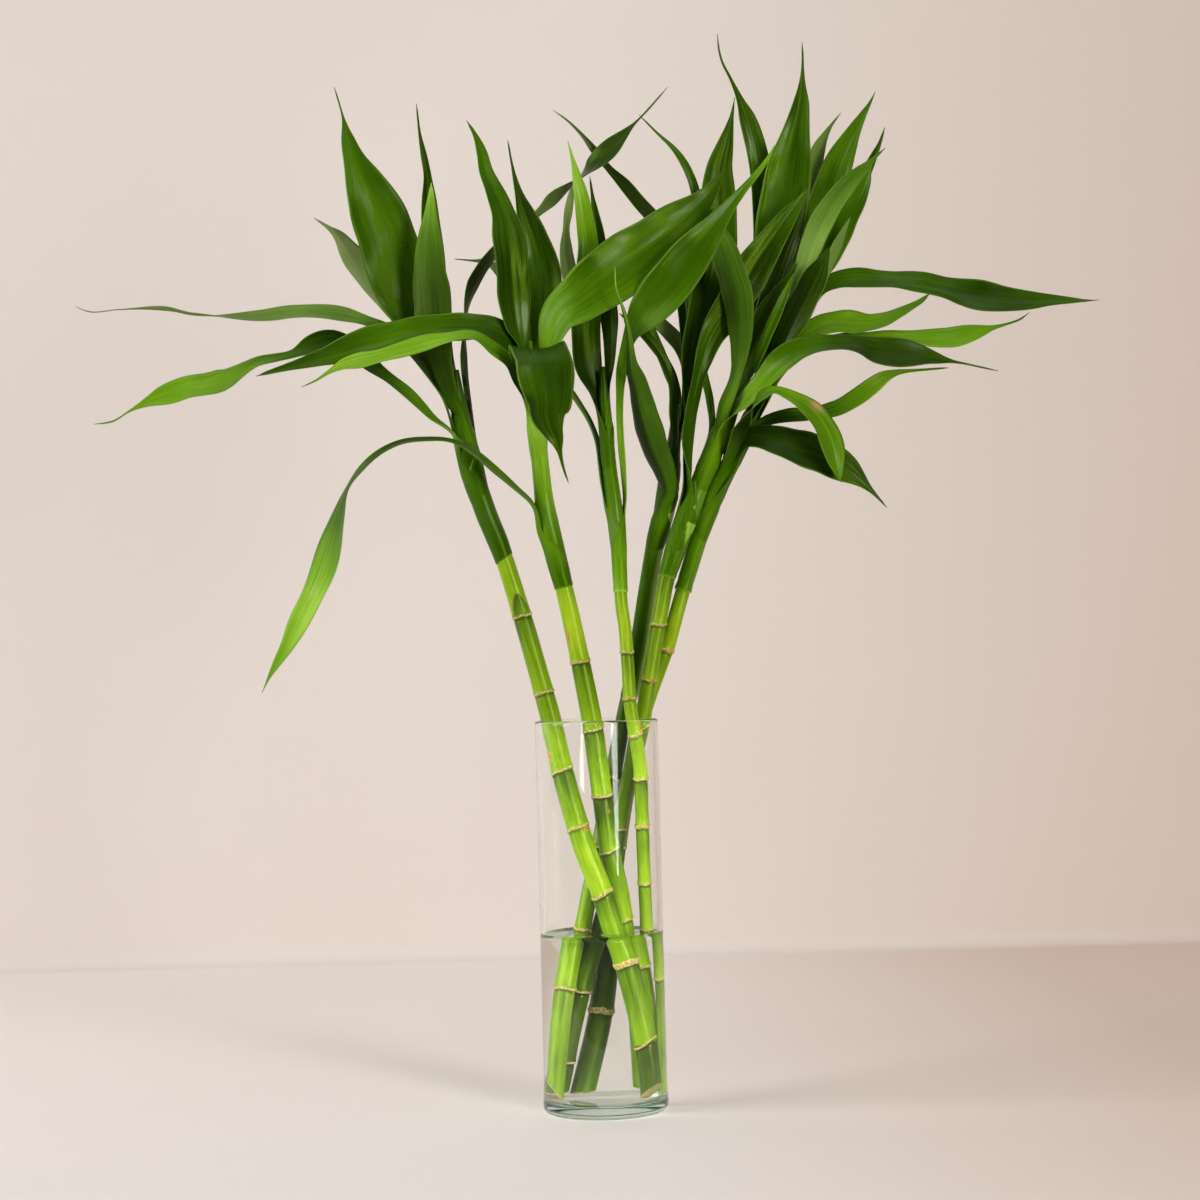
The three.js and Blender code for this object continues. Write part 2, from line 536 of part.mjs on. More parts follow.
      [182, 369.5, -14, 2.6], [190, 368, -13, 1.4], [198, 366, -12, 1.2], [206, 364.2, -11, 0.9],
    ],
  },
  e11: {
    height: 350, side: 330, turn: [40, 40],
    rib: [
      [84, 369, -12, 3.5], [91, 385, -17, 5.5], [98, 400, -18, 5], [105, 416, -18, 0.9],
    ],
  },
  f1: {
    height: 344, side: 90, turn: [10, 15, 20], wave: 1,
    rib: [
      [87.5, 368, 8, 6], [94.5, 385, 11.5, 9], [102, 401, 12.5, 14], [109, 417, 12.5, 17],
      [115, 432, 11.5, 18.5], [120.3, 446, 11.5, 18.5], [125, 459, 11, 17.5],
      [129, 470, 10.5, 14.5], [133.5, 479.5, 10, 10.5], [138, 488, 9.5, 6.8],
      [142.5, 495.5, 9, 3.4], [145.5, 500.5, 8.5, 1.6], [148.2, 506, 8, 0.9],
    ],
  },
  f2: {
    height: 354, side: 50, turn: [20, 20], wave: 0.3,
    rib: [
      [92, 371, 5, 4], [101, 387, 5.5, 4.5], [111, 404, 4.5, 5.5], [120, 421, 3.5, 6],
      [128.5, 437, 2.5, 6.5], [136, 452, 2.5, 7], [142, 464, 3, 6], [146.7, 473.5, 3.5, 3.8],
      [149.8, 480, 3, 2], [152.5, 488, 2, 0.9],
    ],
  },
  f3: {
    height: 352, side: 345, turn: [30, 25, 15], wave: 0.6,
    rib: [
      [91.5, 371, -3.5, 4.5], [98, 386, -5, 5], [104, 401, -6.5, 7], [109.5, 415, -8, 9.5],
      [113.5, 427, -9, 11], [118.5, 438.5, -9.5, 12], [124.5, 448.5, -9.5, 12],
      [131, 457, -9.5, 10], [137.5, 464, -9, 7], [143.5, 469.3, -8.5, 3.8], [148, 473.5, -8, 1.6],
      [152.5, 477.7, -8, 0.9],
    ],
  },
  f4: {
    height: 347, side: 20, turn: [25, 20], wave: 0.8,
    rib: [
      [93.5, 367, 1.5, 4.5], [102, 383, 1, 5], [110.5, 397, 0, 7.5], [119, 410, -1, 10],
      [126, 422, -1, 12], [131, 432.5, -1.5, 13], [135, 442.5, -1.5, 12.5], [138.8, 452, -1, 10.5],
      [142, 460.5, -1, 6], [144.3, 467, -0.5, 2], [145.8, 471.5, 0, 0.9],
    ],
  },
  f5: {
    height: 342, side: 350, turn: [25, 150], wave: 0.3,
    rib: [
      [95, 364, -3.5, 3.5], [104, 379, -4, 4], [112, 393, -5, 5], [118, 405, -6, 6],
      [123, 417, -7.5, 6.5], [127.5, 429, -8.5, 5.5], [131, 437, -9, 3], [134, 443.5, -9, 0.9],
    ],
  },
  f6: {
    height: 340, side: 300, turn: [45, 20, 15], wave: 0.6,
    rib: [
      [88, 358, -9.5, 7], [92.5, 369, -13, 9], [97.5, 380, -15, 12], [103, 390.5, -16, 14],
      [108.5, 400, -16, 14.5], [113, 408.5, -15.5, 14], [117, 416, -15, 11],
      [120.3, 422.5, -14.5, 5.5], [123.5, 429, -14, 0.9],
    ],
  },
  f7: {
    height: 332, side: 35, turn: [35, 35, 25, 20], wave: 0.8,
    rib: [
      [89, 352, 5, 6], [96.5, 368, 9, 6], [104, 384, 12, 6], [111, 398, 13.5, 6],
      [118, 407.5, 14, 6], [126, 411.7, 13.5, 7.7], [136, 412.5, 13, 9.2], [147, 411.8, 12, 8.5],
      [155, 411.3, 11.5, 8.8], [163, 410.3, 11, 10.6], [171, 408.8, 10, 12.1],
      [180, 406.2, 9.5, 12.6], [189, 403.5, 9, 14.5], [199, 401.3, 8, 15.7],
      [210, 399.4, 7.5, 13.8], [222, 398.6, 7, 10.7], [233, 398.7, 6, 6.6], [243, 398.4, 5, 3.6],
      [250.5, 398.2, 4.5, 1.5], [257.3, 398.4, 4, 0.9],
    ],
  },
  f8: {
    height: 334, side: 325, turn: [50, 35, 30, 25], wave: 1,
    rib: [
      [88, 354, -8, 6], [95, 365.5, -9.5, 7], [102, 375.5, -10, 8.5], [109.5, 383.5, -10, 10],
      [117.5, 388.7, -9, 10.8], [126, 390.2, -8, 11.2], [134.5, 389.7, -6.5, 11.4],
      [143, 389.5, -6, 10], [150, 391.2, -5, 8.6], [157, 394.3, -4, 6], [163, 397.3, -3, 3.8],
      [168.5, 400.3, -2, 2.8], [173, 404.3, -1, 0.9],
    ],
  },
  f9: {
    height: 326, side: 350, turn: [40, 35, 30], wave: 0.6,
    rib: [
      [87, 347.5, -1, 5], [96, 358.5, -1.5, 5.5], [106, 367.5, -2.5, 6], [117, 374, -4, 6.5],
      [129, 378.5, -5.5, 7.5], [142, 380.8, -6, 8.5], [154, 381.3, -6, 9], [165, 381.2, -6, 9.6],
      [175, 380.8, -6, 11.2], [184, 381, -6, 11.2], [192, 382.8, -6, 9], [198.5, 384.3, -5.5, 6],
      [204, 385.7, -5, 2.8], [211, 387.5, -4.5, 1.4], [217.5, 389.7, -4, 1.2],
      [222.2, 393, -4, 0.9],
    ],
  },
  f10: {
    height: 316, side: 335, turn: [40, 35, 25, 25], wave: 0.6,
    rib: [
      [82.5, 337.5, -6, 5.5], [90, 342, -7.5, 6], [100, 344, -7.5, 7], [110, 344.3, -6.5, 7.5],
      [119, 345.5, -6.5, 8.5], [127, 349, -6.5, 9.4], [135, 353.8, -6.5, 9.4],
      [142.5, 358.8, -6, 8.3], [149, 362.3, -6, 6], [155, 364.4, -6, 3.6], [162.5, 365.3, -5.5, 2],
      [171.5, 365.8, -5, 1.4], [181, 366.4, -5, 0.9],
    ],
  },
  f11: {
    height: 311, side: 275, turn: [140, 50, 30, 20], wave: 0.5,
    rib: [
      [76.5, 337, -13, 8], [81.5, 347, -20.7, 8.5], [86.8, 354, -26.7, 7], [93, 357.3, -28, 4.5],
      [100, 354.8, -28, 5.5], [107.5, 350, -28.5, 8.5], [114, 344, -29, 11.5],
      [118.7, 336.5, -29, 12.5], [121.5, 328.5, -29, 12.2], [123.2, 320.5, -29, 9],
      [124.6, 314.5, -28.5, 4], [125.6, 310.3, -28, 0.9],
    ],
  },
  f12: {
    height: 298, side: 318, turn: [40, 30, 15, 15], wave: 1,
    rib: [
      [74, 327.5, -6, 8], [79.5, 333.5, -10, 9.5], [86, 333.8, -14, 12], [94, 331.5, -17, 15],
      [103, 328.3, -18.5, 18], [112, 325, -19, 20], [121, 321, -19, 18], [128.5, 316.5, -19, 14],
      [134.5, 311.7, -18.5, 8], [139.5, 306.8, -18, 3.5], [144, 302, -18, 1.5],
      [148.3, 297, -18, 0.9],
    ],
  },
};

// How high an edge is waved off the blade, on its left (-1) or right (1), at a share t of the length.
function waveHeight({ wave = 0, phase = 0 }, t, hand) {
  const fade = smooth(t, CLASP_SHARE, CLASP_SHARE + 0.15) * smooth(1 - t, 0, 0.3);
  return wave * fade * Math.sin(2 * Math.PI * (2.6 * t + phase + 0.3 * hand));
}

// Direction across a leaf and out of its upper face, for the turn in degrees round the rib direction.
function faceAt(tangent, front, degrees) {
  const across = tangent.clone().cross(front).normalize();
  const out = across.clone().cross(tangent).normalize();
  const angle = radians(degrees);
  return out.multiplyScalar(Math.cos(angle)).addScaledVector(across, -Math.sin(angle));
}

function leafGeometry(leaf, cane) {
  const outward = new THREE.Vector3(Math.cos(radians(leaf.side)), Math.sin(radians(leaf.side)), 0);
  const hold = [0, CLASP_RUN].map((step) => {
    const share = shareAt(cane, leaf.height + step);
    const tangent = cane.curve.getTangent(share);
    const away = outward.clone().addScaledVector(tangent, -outward.dot(tangent)).normalize();
    const radius = plainRadius(cane, leaf.height + step);
    const onSurface = (radius + BLADE_THICKNESS / 2) / Math.cos(radians(CLASP_FOLD));
    const reach = step ? onSurface : radius - CLASP_DEPTH;
    return cane.curve.getPoint(share).addScaledVector(away, reach);
  });
  const rib = new THREE.CatmullRomCurve3([...hold, ...leaf.rib.map(seen)]);
  const shown = leaf.rib.map((point) => point[3]);
  const widths = [shown[0] * HOLD_SHARE, shown[0] * HOLD_SHARE, ...shown];
  const front = leaf.sideways ? new THREE.Vector3(1, 0, 0) : new THREE.Vector3(0, -1, 0);

  const footTangent = rib.getTangentAt(0);
  const across = footTangent.clone().cross(front).normalize();
  const out = across.clone().cross(footTangent);
  const footTurn = THREE.MathUtils.radToDeg(Math.atan2(outward.dot(across), -outward.dot(out)));
  const opening = THREE.MathUtils.euclideanModulo(footTurn - leaf.turn[0] + 180, 360) - 180;

  const stations = Math.max(FEWEST_STATIONS, Math.round(rib.getLength() / STATION_SPACING) + 1);
  const rings = [];
  for (let i = 0; i < stations; i++) {
    const t = i / (stations - 1);
    const centre = rib.getPointAt(t);
    const tangent = rib.getTangentAt(t);
    const held = 1 - smooth(t, 0, CLASP_SHARE);
    const free = Math.max(0, (t - CLASP_SHARE) / (1 - CLASP_SHARE));
    const turn = along(leaf.turn, free);
    const face = faceAt(tangent, front, turn + opening * held);
    const side = tangent.clone().cross(face).normalize();
    const fold = radians(mix(leaf.fold ?? FOLD, CLASP_FOLD, held));
    const width = along(widths, rib.getUtoTmapping(t));
    const slant = leaf.sideways ? 1 : mix(Math.max(Math.abs(Math.cos(radians(turn))), 0.6), 1, held);
    const half = Math.max(TIP_WIDTH, width, TIP_WIDTH + (width - TIP_WIDTH) / slant) / 2;
    const lift = BLADE_THICKNESS / 2 / Math.cos(fold);
    const edge = (hand, up) =>
      centre
        .clone()
        .addScaledVector(side, hand * half * Math.cos(fold))
        .addScaledVector(face, half * Math.sin(fold) + waveHeight(leaf, t, hand) + up);
    const middle = (up) => centre.clone().addScaledVector(face, up);
    const upper = [edge(-1, lift), middle(lift), edge(1, lift)];
    const under = [edge(1, -lift), middle(-lift), edge(-1, -lift)];
    rings.push([...upper, ...under]);
  }
  const cap = [[1, 2, 3], [1, 3, 4], [1, 4, 5], [1, 5, 0]];
  return loft(rings, cap, (strip) => strip === 3 || strip === 4);
}

// ---------------------------------------------------------------- vase and water

// A quarter round from one angle to another, as profile points.
function arc(x, y, radius, from, to, steps) {
  return Array.from({ length: steps + 1 }, (_, i) => {
    const angle = radians(mix(from, to, i / steps));
    return new THREE.Vector2(x + radius * Math.cos(angle), y + radius * Math.sin(angle));
  });
}

function vaseGeometry() {
  const inner = VASE_RADIUS - WALL;
  const profile = [
    new THREE.Vector2(0, 0),
    ...arc(FOOT_RADIUS - FOOT_ROUNDING, FOOT_ROUNDING, FOOT_ROUNDING, -90, 0, 4),
    new THREE.Vector2(VASE_RADIUS, FOOT_HEIGHT),
    ...arc(VASE_RADIUS - WALL / 2, VASE_HEIGHT - WALL / 2, WALL / 2, 0, 180, 6),
    ...arc(inner - INNER_ROUNDING, FLOOR + INNER_ROUNDING, INNER_ROUNDING, 0, -90, 2),
    new THREE.Vector2(0, FLOOR),
  ];
  return new THREE.LatheGeometry(profile, VASE_SIDES).rotateX(Math.PI / 2);
}

function waterGeometry() {
  const radius = VASE_RADIUS - WALL - GAP;
  const bottom = FLOOR + GAP;
  const profile = [
    new THREE.Vector2(0, bottom),
    ...arc(radius - INNER_ROUNDING, bottom + INNER_ROUNDING, INNER_ROUNDING, -90, 0, 2),
    new THREE.Vector2(radius, WATER_LEVEL),
    new THREE.Vector2(0, WATER_LEVEL),
  ];
  return new THREE.LatheGeometry(profile, VASE_SIDES).rotateX(Math.PI / 2);
}

// ---------------------------------------------------------------- joining and cutting

const wasm = await Module();
wasm.setup();

function toSolid(geometry) {
  const bare = geometry.clone();
  bare.deleteAttribute("normal");
  bare.deleteAttribute("uv");
  const merged = mergeVertices(bare, 1e-3);
  return new wasm.Manifold(
    new wasm.Mesh({
      numProp: 3,
      vertProperties: merged.attributes.position.array,
      triVerts: new Uint32Array(merged.index.array),
    }),
  );
}

function toGeometry(solid) {
  const mesh = solid.getMesh();
  const geometry = new THREE.BufferGeometry();
  geometry.setAttribute("position", new THREE.Float32BufferAttribute(mesh.vertProperties, 3));
  geometry.setIndex(new THREE.BufferAttribute(mesh.triVerts, 1));
  return geometry;
}

// The largest of a solid's bodies, without what a join leaves loose or sealed inside.
function largestBody(solid) {
  return solid.decompose().sort((a, b) => b.volume() - a.volume())[0];
}

// ---------------------------------------------------------------- the object

const glass = new THREE.MeshStandardMaterial({ color: 0xdfe9e2, roughness: 0.05, metalness: 0 });
const clearWater = new THREE.MeshStandardMaterial({ color: 0xe8f1e4, roughness: 0.02, metalness: 0 });
const caneGreen = new THREE.MeshStandardMaterial({ color: 0x86b81f, roughness: 0.35, metalness: 0 });
const leafGreen = new THREE.MeshStandardMaterial({ color: 0x356b0a, roughness: 0.45, metalness: 0 });

const luckyBamboo = new THREE.Group();

function place(name, geometry, material) {
  geometry.computeVertexNormals();
  const mesh = new THREE.Mesh(geometry, material);
  mesh.name = name;
  luckyBamboo.add(mesh);
}

place("vase", vaseGeometry(), glass);

let water = toSolid(waterGeometry());
for (const cane of Object.values(CANES)) water = water.subtract(toSolid(caneGeometry(cane, GAP)));
place("water", toGeometry(water), clearWater);

Object.entries(CANES).forEach(([letter, cane]) => {
  const leaves = Object.entries(LEAVES)
    .map(([name, leaf], i) => [name, { phase: PHASE_STEP * i, ...leaf }])
    .filter(([name]) => name[0] === letter)
    .map(([, leaf]) => toSolid(leafGeometry(leaf, cane)));
  place("cane_" + letter, caneGeometry(cane), caneGreen);
  const top = wasm.Manifold.union([toSolid(shootGeometry(cane)), ...leaves]);
  place("leaves_" + letter, toGeometry(largestBody(top)), leafGreen);
});

export default luckyBamboo;
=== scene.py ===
# %% [markdown]
# # Lucky bamboo in a glass vase
#
# Six cut canes stand in water in a clear glass cylinder, and each ends in a crown of long waved leaves.
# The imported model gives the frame: where the vase stands, how each cane leans, how far each leaf reaches.
# Its solids are coarse, so this lesson builds finer surfaces in the same places and dresses them.
# Every surface is a grid of points worked out with numpy, in millimetres, and is turned into metres only
# when it becomes a mesh.

import bpy
import numpy as np
from mathutils import Euler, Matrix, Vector


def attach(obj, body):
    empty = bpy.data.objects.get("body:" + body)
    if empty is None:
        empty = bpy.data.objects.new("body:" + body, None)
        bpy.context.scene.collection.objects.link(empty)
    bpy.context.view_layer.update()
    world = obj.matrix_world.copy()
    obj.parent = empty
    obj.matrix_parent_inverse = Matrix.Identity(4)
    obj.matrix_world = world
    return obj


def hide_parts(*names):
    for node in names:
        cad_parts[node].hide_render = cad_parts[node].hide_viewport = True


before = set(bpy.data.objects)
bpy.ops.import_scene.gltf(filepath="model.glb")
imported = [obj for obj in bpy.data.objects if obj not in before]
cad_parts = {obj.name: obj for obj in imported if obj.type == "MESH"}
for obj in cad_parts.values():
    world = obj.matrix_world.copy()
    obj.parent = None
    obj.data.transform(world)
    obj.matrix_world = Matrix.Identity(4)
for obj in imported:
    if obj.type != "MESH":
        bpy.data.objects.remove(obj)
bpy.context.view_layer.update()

scene = bpy.context.scene


print("nodes:", ", ".join(sorted(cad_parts)))

# %% [markdown]
# ## The camera
#
# A camera is placed from what the picture itself tells. The rim of the vase looks like a thin ellipse, the
# water's surface a wider one and the foot the widest, so the eye is a little above the rim, and how fast
# the ellipses open gives the distance: about 1.35 m. A long lens from there keeps the canes unstretched.
# The picture also leans by a degree and a half, which is a roll of the camera and not of the vase.

# %% Place the camera
EYE = np.array([3.5, -1350.0, 231.0])
PITCH, ROLL = 1.0, 1.5

camera_data = bpy.data.cameras.new("camera")
camera_data.lens = 81
camera_data.sensor_width = 36
camera = bpy.data.objects.new("camera", camera_data)
scene.collection.objects.link(camera)
camera.location = Vector(EYE / 1000)
look = Euler((np.radians(90 + PITCH), 0, 0)).to_matrix() @ Euler((0, 0, np.radians(-ROLL))).to_matrix()
camera.rotation_euler = look.to_euler()
scene.camera = camera
print("camera at", [round(c, 3) for c in camera.location])
print("field of view:", round(np.degrees(camera_data.angle), 1), "degrees")

# %% [markdown]
# ## From a grid of numbers to a mesh
#
# A surface with two parameters is a table of points: one row for each step along it, one column for each
# step round it. Neighbours in the table make the faces. A tube closes on itself, so its last column joins
# the first, and its ends are closed with a fan to a point in the middle. What a material needs to know,
# such as how near a leaf's edge a point lies, is stored on the same points as attributes. That is sturdier
# than guessing it from the place in space, because it follows the surface however it twists.

# %% Helpers that make meshes
def unit(v):
    """Each row of v divided by its length."""
    return v / np.maximum(np.linalg.norm(v, axis=-1, keepdims=True), 1e-9)


def smoothstep(x, low, high):
    """0 below low, 1 above high, and 3t^2 - 2t^3 between, where t is the share of the way."""
    t = np.clip((x - low) / (high - low), 0, 1)
    return t * t * (3 - 2 * t)


def tube_faces(rows, columns):
    """Quads between neighbours of a table whose last column joins the first."""
    i, j = np.meshgrid(np.arange(rows - 1), np.arange(columns), indexing="ij")
    k = (j + 1) % columns
    low, high = i * columns, (i + 1) * columns
    return np.stack([low + j, low + k, high + k, high + j], -1).reshape(-1, 4)


def new_piece(name, points, faces, attributes, material, nodes):
    """A closed mesh object from points in mm. attributes maps a name to a number or vector for each point."""
    mesh = bpy.data.meshes.new(name)
    mesh.from_pydata((points / 1000).tolist(), [], faces)
    for key, values in attributes.items():
        values = np.asarray(values, np.float32)
        vector = values.ndim == 2
        stored = mesh.attributes.new(key, "FLOAT_VECTOR" if vector else "FLOAT", "POINT")
        stored.data.foreach_set("vector" if vector else "value", values.ravel())
    mesh.polygons.foreach_set("use_smooth", np.ones(len(mesh.polygons), bool))
    mesh.materials.append(material)
    mesh.update()
    piece = bpy.data.objects.new(name, mesh)
    scene.collection.objects.link(piece)
    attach(piece, "root")
    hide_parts(*nodes)
    return piece


def closed_tube(name, table, attributes, material, nodes):
    """A tube from a table of points (rows, columns, 3), both ends closed with a fan to their middle."""
    rows, columns = table.shape[:2]
    points = np.vstack([table.reshape(-1, 3), table[0].mean(0), table[-1].mean(0)])
    faces = tube_faces(rows, columns).tolist()
    foot, head = rows * columns, rows * columns + 1
    last = (rows - 1) * columns
    for j in range(columns):
        k = (j + 1) % columns
        faces.append((foot, k, j))
        faces.append((head, last + j, last + k))
    ended = {}
    for key, values in attributes.items():
        flat = values.reshape(rows * columns, -1)
        both = np.vstack([flat, values[0].reshape(columns, -1).mean(0), values[-1].reshape(columns, -1).mean(0)])
        ended[key] = both[:, 0] if both.shape[1] == 1 else both
    return new_piece(name, points, faces, ended, material, nodes)


# %% [markdown]
# ## Curves
#
# Canes and leaf ribs are smooth lines through a few chosen points. A Catmull-Rom curve passes through all
# of them, and its centripetal form never loops or overshoots between unevenly spaced ones. Whatever else
# is noted beside a point, here a leaf's width, can ride along as one more column.

# %% Curves through points
def catmull_rom(points, steps=16):
    """Centripetal Catmull-Rom curve through the rows of points, steps to a span.

    The knots are spaced by the square root of the distance between neighbours. In each span three straight
    blends are blended twice more, which is the pyramid of Barry and Goldman.
    """
    points = np.asarray(points, float)
    p = np.vstack([2 * points[0] - points[1], points, 2 * points[-1] - points[-2]])
    knots = np.concatenate([[0], np.cumsum(np.sqrt(np.linalg.norm(np.diff(p[:, :3], axis=0), axis=1)))])
    k = np.arange(1, len(p) - 2)[:, None]
    share = np.linspace(0, 1, steps, endpoint=False)[None, :]
    t = knots[k] + share * (knots[k + 1] - knots[k])

    def blend(a, b, start, end):
        weight = ((t - start) / (end - start))[..., None]
        return a * (1 - weight) + b * weight

    first = [blend(p[k + i - 1], p[k + i], knots[k + i - 1], knots[k + i]) for i in range(3)]
    second = [blend(first[i], first[i + 1], knots[k + i - 1], knots[k + i + 1]) for i in range(2)]
    curve = blend(second[0], second[1], knots[k], knots[k + 1])
    return np.vstack([curve.reshape(-1, points.shape[1]), points[-1]])


def lengths(curve):
    """Distance along a curve to each of its points."""
    return np.concatenate([[0], np.cumsum(np.linalg.norm(np.diff(curve[:, :3], axis=0), axis=1))])


def at_lengths(curve, wanted):
    """The curve's columns read at distances along it."""
    run = lengths(curve)
    return np.stack([np.interp(wanted, run, column) for column in curve.T], -1)


def seen(points):
    """Points noted as (right, up, back) as they look from the camera, put at their depth.

    right and up are read on the plane through the vase's axis; the point slides along its line of sight
    until it lies back behind that plane.
    """
    points = np.asarray(points, float)
    plane = np.stack([points[:, 0], np.zeros(len(points)), points[:, 1]], -1)
    placed = EYE + (plane - EYE) * (1 - points[:, 2:3] / EYE[1])
    return np.hstack([placed, points[:, 3:]])


print("a curve through 4 points has", len(catmull_rom([(0, 0, 0), (1, 0, 0), (1, 1, 0), (2, 1, 0)])), "points")

# %% [markdown]
# ## Materials: shared effects
#
# A plant's skin is never one colour. Fibres run along it, it is cloudy over a few millimetres, and light
# specks of lime and dust lie on it. Those effects are used on leaves, sheaths and canes alike, so each is
# a node group, built once, with its own scale and strength wherever it is placed. All read the attribute
# "skin": the distance across and along the surface in millimetres, so a streak follows a bent cane and a
# twisted leaf.

# %% Small helpers for nodes
def add_node(tree, kind, settings=None, **inputs):
    """A node of a kind, with settings on the node and values or links for its inputs."""
    made = tree.nodes.new(kind)
    for key, value in (settings or {}).items():
        setattr(made, key, value)
    for key, value in inputs.items():
        name = key.replace("_", " ")
        socket = made.inputs[int(key[1:])] if key[0] == "i" and key[1:].isdigit() else made.inputs[name]
        if isinstance(value, bpy.types.NodeSocket):
            tree.links.new(value, socket)
        else:
            socket.default_value = value
    return made


def maths(tree, operation, a, b=0.0, clamp=False):
    """One step of arithmetic on sockets or numbers."""
    return add_node(tree, "ShaderNodeMath", {"operation": operation, "use_clamp": clamp}, i0=a, i1=b).outputs[0]


def plus(tree, a, b):
    """The sum of two sockets or numbers."""
    return maths(tree, "ADD", a, b)


def times(tree, a, b):
    """The product of two sockets or numbers."""
    return maths(tree, "MULTIPLY", a, b)


def remap(tree, value, low, high, start=0.0, end=1.0):
    """start where the value is low, end where it is high, even between them and level beyond."""
    return add_node(tree, "ShaderNodeMapRange", Value=value, i1=low, i2=high, i3=start, i4=end).outputs[0]


def mixed(tree, factor, a, b):
    """Colour a where factor is 0 and colour b where it is 1."""
    made = tree.nodes.new("ShaderNodeMix")
    made.data_type = "RGBA"
    for index, value in ((0, factor), (6, a), (7, b)):
        if isinstance(value, bpy.types.NodeSocket):
            tree.links.new(value, made.inputs[index])
        else:
            made.inputs[index].default_value = value if index == 0 else (*value, 1)
    return made.outputs[2]


def ramp(tree, factor, stops):
    """Colours read from a row of (place, colour) stops."""
    made = add_node(tree, "ShaderNodeValToRGB", Fac=factor)
    while len(made.color_ramp.elements) < len(stops):
        made.color_ramp.elements.new(0.5)
    for element, (place, colour) in zip(made.color_ramp.elements, stops):
        element.position = place
        element.color = (*colour, 1)
    return made.outputs["Color"]


def attribute(tree, name, output="Fac"):
    """What the piece stores on its points under a name."""
    return add_node(tree, "ShaderNodeAttribute", {"attribute_name": name}).outputs[output]


def colour(red, green, blue):
    """A colour picked on screen (0 to 255), as the light it stands for (0 to 1)."""
    c = np.array([red, green, blue]) / 255
    return tuple(np.where(c <= 0.04045, c / 12.92, ((c + 0.055) / 1.055) ** 2.4).tolist())


def new_group(name, inputs, outputs):
    """An empty shader node group with named sockets, and the sockets to build from."""
    group = bpy.data.node_groups.new(name, "ShaderNodeTree")
    for key, kind, value in inputs:
        socket = group.interface.new_socket(key, in_out="INPUT", socket_type=kind)
        if value is not None:
            socket.default_value = value
    for key, kind in outputs:
        group.interface.new_socket(key, in_out="OUTPUT", socket_type=kind)
    return group, group.nodes.new("NodeGroupInput").outputs, group.nodes.new("NodeGroupOutput").inputs


def place_group(tree, group, **inputs):
    """A node group placed in a material."""
    return add_node(tree, "ShaderNodeGroup", {"node_tree": group}, **inputs).outputs


# %% Fibres along the surface
FLOAT, VECTOR = "NodeSocketFloat", "NodeSocketVector"


def scaled(tree, vector, factors):
    """A vector with each of its three numbers multiplied by its own factor."""
    return add_node(tree, "ShaderNodeVectorMath", {"operation": "MULTIPLY"}, i0=vector, i1=factors).outputs[0]


fibres, given, result = new_group(
    "fibres",
    [("Skin", VECTOR, None), ("Fineness", FLOAT, 2.0), ("Stretch", FLOAT, 0.03), ("Contrast", FLOAT, 1.0)],
    [("Streak", FLOAT), ("Height", FLOAT)],
)
drawn = add_node(fibres, "ShaderNodeCombineXYZ", X=1.0, Y=1.0, Z=given["Stretch"]).outputs[0]
pulled = scaled(fibres, given["Skin"], drawn)
fine = add_node(fibres, "ShaderNodeTexNoise", Vector=pulled, Scale=given["Fineness"], Detail=3.0, Roughness=0.6)
centred = maths(fibres, "SUBTRACT", fine.outputs["Fac"], 0.5)
fibres.links.new(times(fibres, centred, given["Contrast"]), result["Streak"])
fibres.links.new(fine.outputs["Fac"], result["Height"])
print("fibres gives", [s.name for s in result if s.name])

# %% Clouds of lighter and darker tissue
clouds, given, result = new_group(
    "clouds",
    [("Skin", VECTOR, None), ("Size", FLOAT, 12.0), ("Contrast", FLOAT, 1.0)],
    [("Cloud", FLOAT)],
)
slow = maths(clouds, "DIVIDE", 1.0, given["Size"])
squeezed = scaled(clouds, given["Skin"], (1, 1, 0.45))
puffs = add_node(clouds, "ShaderNodeTexNoise", Vector=squeezed, Scale=slow, Detail=2.0, Roughness=0.5)
centred = maths(clouds, "SUBTRACT", puffs.outputs["Fac"], 0.5)
clouds.links.new(times(clouds, centred, given["Contrast"]), result["Cloud"])

# %% Specks of lime and dust
specks, given, result = new_group(
    "specks",
    [("Skin", VECTOR, None), ("Spacing", FLOAT, 6.0), ("Radius", FLOAT, 0.1)],
    [("Speck", FLOAT)],
)
often = maths(specks, "DIVIDE", 1.0, given["Spacing"])
cells = add_node(specks, "ShaderNodeTexVoronoi", Vector=given["Skin"], Scale=often, Randomness=1.0)
near = maths(specks, "LESS_THAN", cells.outputs["Distance"], given["Radius"])
lot = add_node(specks, "ShaderNodeSeparateColor", Color=cells.outputs["Color"]).outputs[0]
chosen = maths(specks, "GREATER_THAN", lot, 0.72)
specks.links.new(times(specks, near, chosen), result["Speck"])

# %% [markdown]
# ## The leaf's skin
#
# A lucky bamboo leaf is deep green and satin on top, duller and paler underneath, with fine fibres from
# foot to tip and a thin pale margin. How bright it looks changes from leaf to leaf and along each leaf,
# so "tone" is stored on the points and looked up in a row of greens. That tone is partly the leaf's own
# green and partly painted light and shade: lighter where a leaf is lit or shines, darker where it lies in
# shade. One material serves all leaves.

# %% Leaf material
# The greens that tone is read in; a tone holds painted light and shade besides the leaf's own green.
GREENS = [
    (0.0, colour(10, 22, 0)), (0.25, colour(28, 52, 1)), (0.5, colour(58, 97, 2)),
    (0.75, colour(104, 150, 16)), (1.0, colour(166, 208, 74)),
]
# Grey greens, for a duller underside and for a painted sheen.
GREY_AND_SHEEN = [(0.0, colour(34, 46, 16)), (0.5, colour(110, 128, 72)), (1.0, colour(180, 192, 138))]
PALE_MARGIN, BROWN_SPOT, LEAF_DUST = colour(132, 168, 64), colour(176, 128, 78), colour(170, 190, 130)


def new_material(name):
    """A node material with its Principled shader, ready to be wired."""
    material = bpy.data.materials.new(name)
    material.use_nodes = True
    tree = material.node_tree
    return material, tree, tree.nodes["Principled BSDF"]


